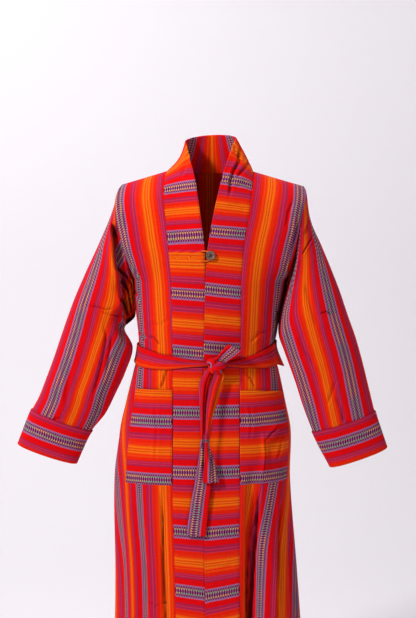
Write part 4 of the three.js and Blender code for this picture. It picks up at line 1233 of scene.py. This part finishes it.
# the near side bulges, with a deep fold beside its edge and a smaller one along the middle
pinch = np.sin(np.pi * np.clip(share / 3.4, 0, 1))[:, None] * (share < 3.4)[:, None]
across = t[..., 0]
bulge = 2.2 * np.sin(np.pi * across) - 4.6 * np.exp(-(((across - 0.22) / 0.07) ** 2))
bulge = bulge - 1.6 * np.exp(-(((across - 0.66) / 0.06) ** 2))
grid = grid + normals * (pinch * bulge)[..., None]
normals = gridNormals(grid, 1)
places = [np.interp(share, np.arange(len(bowRows["y"])), bowRows[k]) for k in ("leftPlace", "rightPlace")]
stripe = lerp(places[0][:, None], places[1][:, None], t[..., 0])
clothShell("belt_bow_loop", grid, normals, (stripe, columnDistance(grid)), 1,
           ends["wall"], material="belt", flat=(0.03, 0.135),
           replaces="belt_bow", rimRound=0.8)
print("belt ends and bow done")

knot = {
    "wall": 1.4,
    "rows": 44,
    "columns": 24,
    "centre": (16, -104, -417),
    # each wrap: points of its middle line (x, y, z), its width direction there, half width, crown,
    # and the cloth's own place at its two edges
    "wraps": [
        {"path": [(8, -108, -424), (8, -121, -422), (15, -130, -419), (26, -131, -416),
                  (35, -124, -414), (38, -108, -412)],
         "side": [(-0.1, 0.1, 1), (-0.1, 0, 1), (0.2, 0, 1), (0.3, 0.1, 1), (0.1, 0.1, 1),
                  (0, 0, 1)],
         "half": [7, 8, 9, 9.5, 9, 7], "crown": 5, "place": (112, 95), "folds": (0.1, 1.6)},
        {"path": [(-1, -112, -409), (3, -121, -405), (9, -127, -407), (12, -128, -414),
                  (9, -124, -423), (6, -112, -429)],
         "side": [(0.1, -0.2, 1), (0.6, -0.2, 1), (1, 0, 0.5), (1, 0.1, -0.1), (1, 0, -0.5),
                  (0.8, 0, -0.6)],
         "half": [5, 6, 7, 7, 6, 5], "crown": 3, "place": (10, 27), "folds": (-0.2, 1.0)},
        {"path": [(19, -108, -402), (18, -120, -406), (20, -127, -417), (21, -127, -428),
                  (24, -118, -434), (24, -108, -436)],
         "side": [(1, 0, 0), (1, 0, 0), (1, 0, 0.1), (1, 0, 0.2), (1, 0, 0.2), (1, 0, 0)],
         "half": [9, 10, 10, 8, 7, 6], "crown": 3, "place": (96, 118), "folds": (0.3, 1.4)},
        {"path": [(2, -112, -418), (4, -122, -423), (9, -125, -428), (16, -121, -432),
                  (20, -110, -434)],
         "side": [(0.5, 0, 1), (0.5, 0, 1), (0.5, 0, 1), (0.3, 0, 1), (0.2, 0, 1)],
         "half": [3, 4, 4.5, 4, 3], "crown": 2, "place": (39, 48), "folds": (0.0, 0.5)},
    ],
}


def wrapShell(name, wrap):
    count = len(wrap["path"])
    at = np.linspace(0, count - 1, knot["rows"] + 1)
    line = catmull(wrap["path"], at)
    way = unit(np.gradient(line, axis=0))
    side = catmull(wrap["side"], at)
    side = unit(side - (side * way).sum(1, keepdims=True) * way)
    out = unit(np.cross(way, side))
    out = out * np.sign(((line - knot["centre"]) * out).sum(1, keepdims=True))
    half = np.interp(at, np.arange(count), wrap["half"])
    t = steps(knot["columns"])[None] * 2 - 1
    grid = line[:, None] + side[:, None] * (half[:, None] * t)[..., None]
    bulge = wrap["crown"] * (1 - t**2) - wrap["crown"] * 0.8 * t**6
    middle, depth = wrap["folds"]
    for shift, share in ((0, 1), (0.55, 0.6), (-0.5, 0.7)):
        bend = middle + shift + 0.15 * np.sin(1.7 * at[:, None] + 3 * shift)
        bulge = bulge - depth * share * np.exp(-(((t - bend) / 0.11) ** 2))
    grid = grid + out[:, None] * bulge[..., None]
    normals = gridNormals(grid, 1)
    turn = -1 if (normals * out[:, None]).sum() < 0 else 1
    normals = normals * turn
    first, last = wrap["place"]
    place = lerp(first, last, (t + 1) / 2), columnDistance(grid)
    return clothShell(name, grid, normals, place, turn, knot["wall"], material="belt", rimRound=0.8)


wraps = [wrapShell(f"wrap{k}", wrap) for k, wrap in enumerate(knot["wraps"])]
knotPiece = joined("belt_knot_wraps", wraps)
finishPiece(knotPiece, "belt_knot")
print("knot done")


# the button and its loop
def plainMaterial(name, dark, pale, roughness, scale, bump, stretch=(1, 1, 1), grain=1400.0):
    # mottled colour with a fine grain, for shell, thread and the loop's cotton
    material, n = emptyMaterial(name)
    solid = n.add("ShaderNodeTexCoord").outputs["Object"]
    drawn = n.add("ShaderNodeVectorMath", {0: solid, 1: stretch}, operation="MULTIPLY").outputs[0]
    change = n.spread(n.noise(drawn, scale, 5.0, Roughness=0.62), 0.36, 0.66)
    fine = n.noise(solid, grain, 2.0)
    raised = n.add("ShaderNodeBump", {"Height": fine, "Strength": bump, "Distance": 0.0003}).outputs[0]
    surface = n.add("ShaderNodeBsdfPrincipled", {
        "Base Color": n.mix(change, dark, pale), "Normal": raised,
        "Roughness": n.math("MULTIPLY_ADD", fine, 0.2, roughness - 0.1),
        "Specular IOR Level": 0.3,
    })
    n.add("ShaderNodeOutputMaterial", {0: surface.outputs[0]})
    return material


materials.update({
    "shell": plainMaterial("coconutShell", (0.045, 0.028, 0.022), (0.30, 0.20, 0.15), 0.36, 330.0,
                           0.2, stretch=(1, 1, 2.2)),
    "loop": plainMaterial("loopCotton", (0.62, 0.045, 0.002), (0.92, 0.16, 0.006), 0.85, 260.0,
                          0.8, grain=2600.0),
    "thread": plainMaterial("sewingThread", (0.20, 0.006, 0.008), (0.42, 0.020, 0.016), 0.8, 900.0,
                            0.7, grain=4200.0),
    "darkThread": plainMaterial("buttonThread", (0.03, 0.008, 0.008), (0.12, 0.02, 0.02), 0.8, 900.0,
                                0.7, grain=4200.0),
})
button = {
    "x": 5.5, "z": -177,
    "tilt": 6,
    "sides": 72,
    "profile": [(0, 6.3), (4.4, 6.3), (6.5, 6.6), (7.5, 7.3), (8.5, 7.7), (9.4, 7.5), (9.95, 6.8),
                (10, 5.9), (9.6, 5.1), (8.6, 4.7), (0, 4.6)],
    "holes": [(-2.0, -2.0), (2.0, -2.0), (2.0, 2.0), (-2.0, 2.0)],
    "holeRadius": 1.0,
    "shankRadius": 1.7,
    "strandRadius": 0.42,
    "strandFoot": 4.9,      # heights over the cloth
    "strandTop": 6.85,
}
loop = {
    "radius": 1.8,
    "clearance": 0.6,
    "route": [(-15, -168), (-8, -167.5), (2, -169.5), (10, -173), (12.6, -178.5), (10, -184),
              (2, -187.5), (-8, -189.5), (-15, -189)],
}


def onBand(x, z):
    return onGrid(bandGrids["right" if x < -5 else "left"], x, z)


def roundShell(name, rings, material):
    # rings of points joined into a closed skin that faces outwards, flat at both ends
    count, size = rings.shape[:2]
    k = np.arange(size)
    faces = []
    for row in range(count - 1):
        here, over = row * size + k, row * size + (k + 1) % size
        faces += np.stack([here, over, over + size, here + size], 1).tolist()
    faces += [k[::-1].tolist(), (k + (count - 1) * size).tolist()]
    points = rings.reshape(-1, 3)
    volume = 0
    for face in faces:
        for a, b in zip(face[1:], face[2:]):
            volume += np.dot(points[face[0]], np.cross(points[a], points[b]))
    if volume < 0:
        faces = [face[::-1] for face in faces]
    return newObject(name, points * mm, faces, materials[material])


def tube(name, points, radius, material, count=60, sides=12):
    line = spaced(np.asarray(points, float), count)
    way = unit(np.gradient(line, axis=0))
    out = np.zeros_like(line)
    out[0] = unit(np.cross(way[0], [0.3, 0.9, 0.2]))
    for k in range(1, len(line)):
        out[k] = unit(out[k - 1] - way[k] * np.dot(out[k - 1], way[k]))
    side = np.cross(way, out)
    turn = (2 * np.pi * np.arange(sides) / sides)[None, :, None]
    wide = np.broadcast_to(radius, (count + 1,))[:, None, None]
    rings = line[:, None] + wide * (np.cos(turn) * out[:, None] + np.sin(turn) * side[:, None])
    return roundShell(name, rings, material)


def buttonSpace(points):
    # from (across, up, height over the cloth) to the scene, tilted back a little
    across, up, height = np.moveaxis(np.asarray(points, float), -1, 0)
    tilt = math.radians(button["tilt"])
    y = onBand(button["x"], button["z"]) - height * math.cos(tilt) + up * math.sin(tilt)
    z = button["z"] + up * math.cos(tilt) + height * math.sin(tilt)
    return np.stack([button["x"] + across, y, z], -1)


profile = np.array(button["profile"])
fine = catmull(profile, np.linspace(0, len(profile) - 1, 61))
fine[[0, -1], 0] = 0.02
turn = 2 * np.pi * np.arange(button["sides"]) / button["sides"]
rings = np.stack([fine[:, :1] * np.cos(turn), fine[:, :1] * np.sin(turn), fine[:, 1:] + 0 * turn], -1)
disc = roundShell("button_disc", buttonSpace(rings), "shell")
cutters = [tube(f"drill{k}", buttonSpace([(x, up, 2), (x, up, 6), (x, up, 10)]), button["holeRadius"],
                "shell", count=2, sides=20) for k, (x, up) in enumerate(button["holes"])]


def applied(piece):
    # the piece with its modifiers made real
    seen = piece.evaluated_get(bpy.context.evaluated_depsgraph_get())
    mesh = bpy.data.meshes.new_from_object(seen)
    piece.modifiers.clear()
    piece.data = mesh
    mesh.name = piece.name
    return piece


drill = joined("drill", cutters)
cut = disc.modifiers.new("holes", "BOOLEAN")
cut.operation, cut.solver, cut.object = "DIFFERENCE", "EXACT", drill
applied(disc)
bpy.data.objects.remove(drill)
shape = bmesh.new()
shape.from_mesh(disc.data)
for edge in shape.edges:
    edge.smooth = edge.is_manifold and edge.calc_face_angle() < 0.7
shape.to_mesh(disc.data)
shape.free()
finishPiece(disc, "button")

# two strands from a hole to the one across, and two more over them
strands = []
foot = button["strandFoot"]
for k, (x, up) in enumerate(button["holes"][:2]):
    top = button["strandTop"] + 0.45 * k
    for shift in (-button["strandRadius"], button["strandRadius"]):
        start, aside = np.array([x, up]), unit(np.array([-up, x])) * shift
        arc = [(*(aside + start), foot), (*(aside + start), top - 0.5), (*aside, top),
               (*(aside - start), top - 0.5), (*(aside - start), foot)]
        strands.append(tube(f"strand{k}{shift}", buttonSpace(arc), button["strandRadius"], "darkThread",
                            count=24, sides=8))
wound = button["shankRadius"] * (1 + 0.1 * np.sin(2 * np.pi * 5 * steps(40)))
strands.append(tube("shank", buttonSpace([(0, 0, -0.5), (0, 0, 2.2), (0, 0, foot)]), wound, "darkThread",
                    count=40, sides=16))
finishPiece(joined("button_threads", strands))

route = [(x, onBand(x, z) - loop["clearance"] - loop["radius"], z) for x, z in loop["route"]]
softened = loop["radius"] * (1 + 0.05 * np.sin(11 * steps(90)) + 0.03 * np.sin(29 * steps(90)))
finishPiece(tube("button_loop_cord", route, softened, "loop", count=90, sides=14),
            "button_loop")
print("button and loop done")

# sewing
sewing = {"Spacing": 3.7 * mm, "Length": 2.8 * mm, "Width": 0.6 * mm, "Unevenness": 0.2, "Seed": 7}


def stitchTree():
    tree = bpy.data.node_groups.new("stitchesAlongLines", "GeometryNodeTree")
    kinds = {"Geometry": "Geometry", "Spacing": "Float", "Length": "Float", "Width": "Float",
             "Unevenness": "Float", "Seed": "Int", "Thread": "Material"}
    inputs = {}
    for label, kind in kinds.items():
        socket = tree.interface.new_socket(name=label, in_out="INPUT", socket_type=f"NodeSocket{kind}")
        inputs[label] = socket.identifier
    tree.interface.new_socket(name="Geometry", in_out="OUTPUT", socket_type="NodeSocketGeometry")
    n = Nodes(tree)
    given = n.add("NodeGroupInput").outputs
    curve = n.add("GeometryNodeMeshToCurve", {"Mesh": given["Geometry"]}).outputs[0]
    dots = n.add("GeometryNodeResampleCurve", {"Curve": curve, "Length": given["Spacing"]},
                 mode="LENGTH").outputs[0]
    bead = n.add("GeometryNodeMeshUVSphere", {"Segments": 5, "Rings": 3, "Radius": 1.0}).outputs[0]
    bead = n.add("GeometryNodeSetShadeSmooth", {"Geometry": bead}).outputs[0]
    least = n.math("SUBTRACT", 1.0, given["Unevenness"])
    most = n.math("ADD", 1.0, given["Unevenness"])
    change = n.add("FunctionNodeRandomValue", {2: least, 3: most, "Seed": given["Seed"]},
                   data_type="FLOAT").outputs[1]
    half = n.math("MULTIPLY", n.math("MULTIPLY", given["Length"], 0.5), change)
    thick = n.math("MULTIPLY", given["Width"], 0.5)
    size = n.add("ShaderNodeCombineXYZ", {0: half, 1: thick, 2: thick}).outputs[0]
    way = n.add("GeometryNodeInputTangent").outputs[0]
    turned = n.add("FunctionNodeAlignRotationToVector", {"Vector": way}, axis="X").outputs[0]
    laid = n.add("GeometryNodeInstanceOnPoints", {"Points": dots, "Instance": bead, "Rotation": turned,
                                                  "Scale": size}).outputs[0]
    real = n.add("GeometryNodeRealizeInstances", {"Geometry": laid}).outputs[0]
    finished = n.add("GeometryNodeSetMaterial", {"Geometry": real, "Material": given["Thread"]}).outputs[0]
    n.add("NodeGroupOutput", {"Geometry": finished})
    return tree, inputs


tree, inputs = stitchTree()
for name, lines in sewn.items():
    ends = np.cumsum([len(line) for line in lines])
    edges = [(k, k + 1) for k in range(ends[-1] - 1) if k + 1 not in ends]
    piece = newObject(f"{name}_stitches", np.concatenate(lines) * mm, [], edges=edges)
    sew = piece.modifiers.new("stitches", "NODES")
    sew.node_group = tree
    for label, value in sewing.items():
        sew[inputs[label]] = value
    sew[inputs["Thread"]] = materials["thread"]
    applied(piece)
    finishPiece(piece)
print("sewing done:", len(sewn), "pieces")


studio = {
    "eye": (0, -3.1761, 0.0831),
    "aim": (0, 0, -0.30693),
    "lens": 82.85,
    "floor": -1.42,
    "paper": (0.90, 0.87, 0.91, 1),
    "sky": (0.92, 0.88, 0.93, 1),
    "skyStrength": 0.2,
    # place, where it points, size and watts
    "lamps": {
        "keyLight": ((-2.1, -2.2, 1.7), (0, 0, -0.4), (0.5, 0.5), 100),
        "fillLight": ((2.2, -2.6, 0.7), (0, 0, -0.4), (1.0, 1.2), 8),
        "topLight": ((0.1, 0.2, 1.9), (0, 0, -0.4), (1.4, 0.8), 18),
        "paperLightLeft": ((-1.6, 0.7, 1.5), (-0.6, 2.4, -0.2), (1.0, 1.4), 27),
        "paperLightRight": ((1.6, 0.7, 1.5), (0.5, 2.4, 0.5), (1.0, 1.4), 8),
    },
}


def pointed(name, data, place, aim):
    holder = bpy.data.objects.new(name, data)
    bpy.context.collection.objects.link(holder)
    holder.location = place
    holder.rotation_euler = (Vector(aim) - Vector(place)).to_track_quat("-Z", "Y").to_euler()
    return holder


scene = bpy.context.scene
camera = bpy.data.cameras.new("camera")
camera.sensor_fit, camera.sensor_height, camera.lens = "VERTICAL", 36, studio["lens"]
scene.camera = pointed("camera", camera, studio["eye"], studio["aim"])
for name, (place, aim, size, watts) in studio["lamps"].items():
    lamp = bpy.data.lights.new(name, "AREA")
    lamp.shape, lamp.size, lamp.size_y, lamp.energy = "RECTANGLE", *size, watts
    pointed(name, lamp, place, aim)
scene.view_settings.view_transform = "Standard"
scene.world = scene.world or bpy.data.worlds.new("studio")
scene.world.use_nodes = True
sky = scene.world.node_tree.nodes["Background"]
sky.inputs[0].default_value, sky.inputs[1].default_value = studio["sky"], studio["skyStrength"]

# the floor turns up into a backdrop; from behind, its paper is clear
paper, n = emptyMaterial("palePaper")
matt = n.add("ShaderNodeBsdfPrincipled", {"Base Color": studio["paper"], "Roughness": 0.9}).outputs[0]
clear = n.add("ShaderNodeBsdfTransparent").outputs[0]
behind = n.add("ShaderNodeNewGeometry").outputs["Backfacing"]
oneSided = n.add("ShaderNodeMixShader", {0: behind, 1: matt, 2: clear}).outputs[0]
n.add("ShaderNodeOutputMaterial", {0: oneSided})
turn = np.linspace(0, math.pi / 2, 17)
y = np.concatenate([[-6, 0], 1.6 + np.sin(turn), [2.6]])
z = np.concatenate([[0, 0], 1 - np.cos(turn), [5]]) + studio["floor"]
rows = np.stack([[[-5, a, b], [5, a, b]] for a, b in zip(y, z)])
faces = [(2 * k, 2 * k + 1, 2 * k + 3, 2 * k + 2) for k in range(len(y) - 1)]
newObject("floor", rows, faces, paper)
print("studio done")
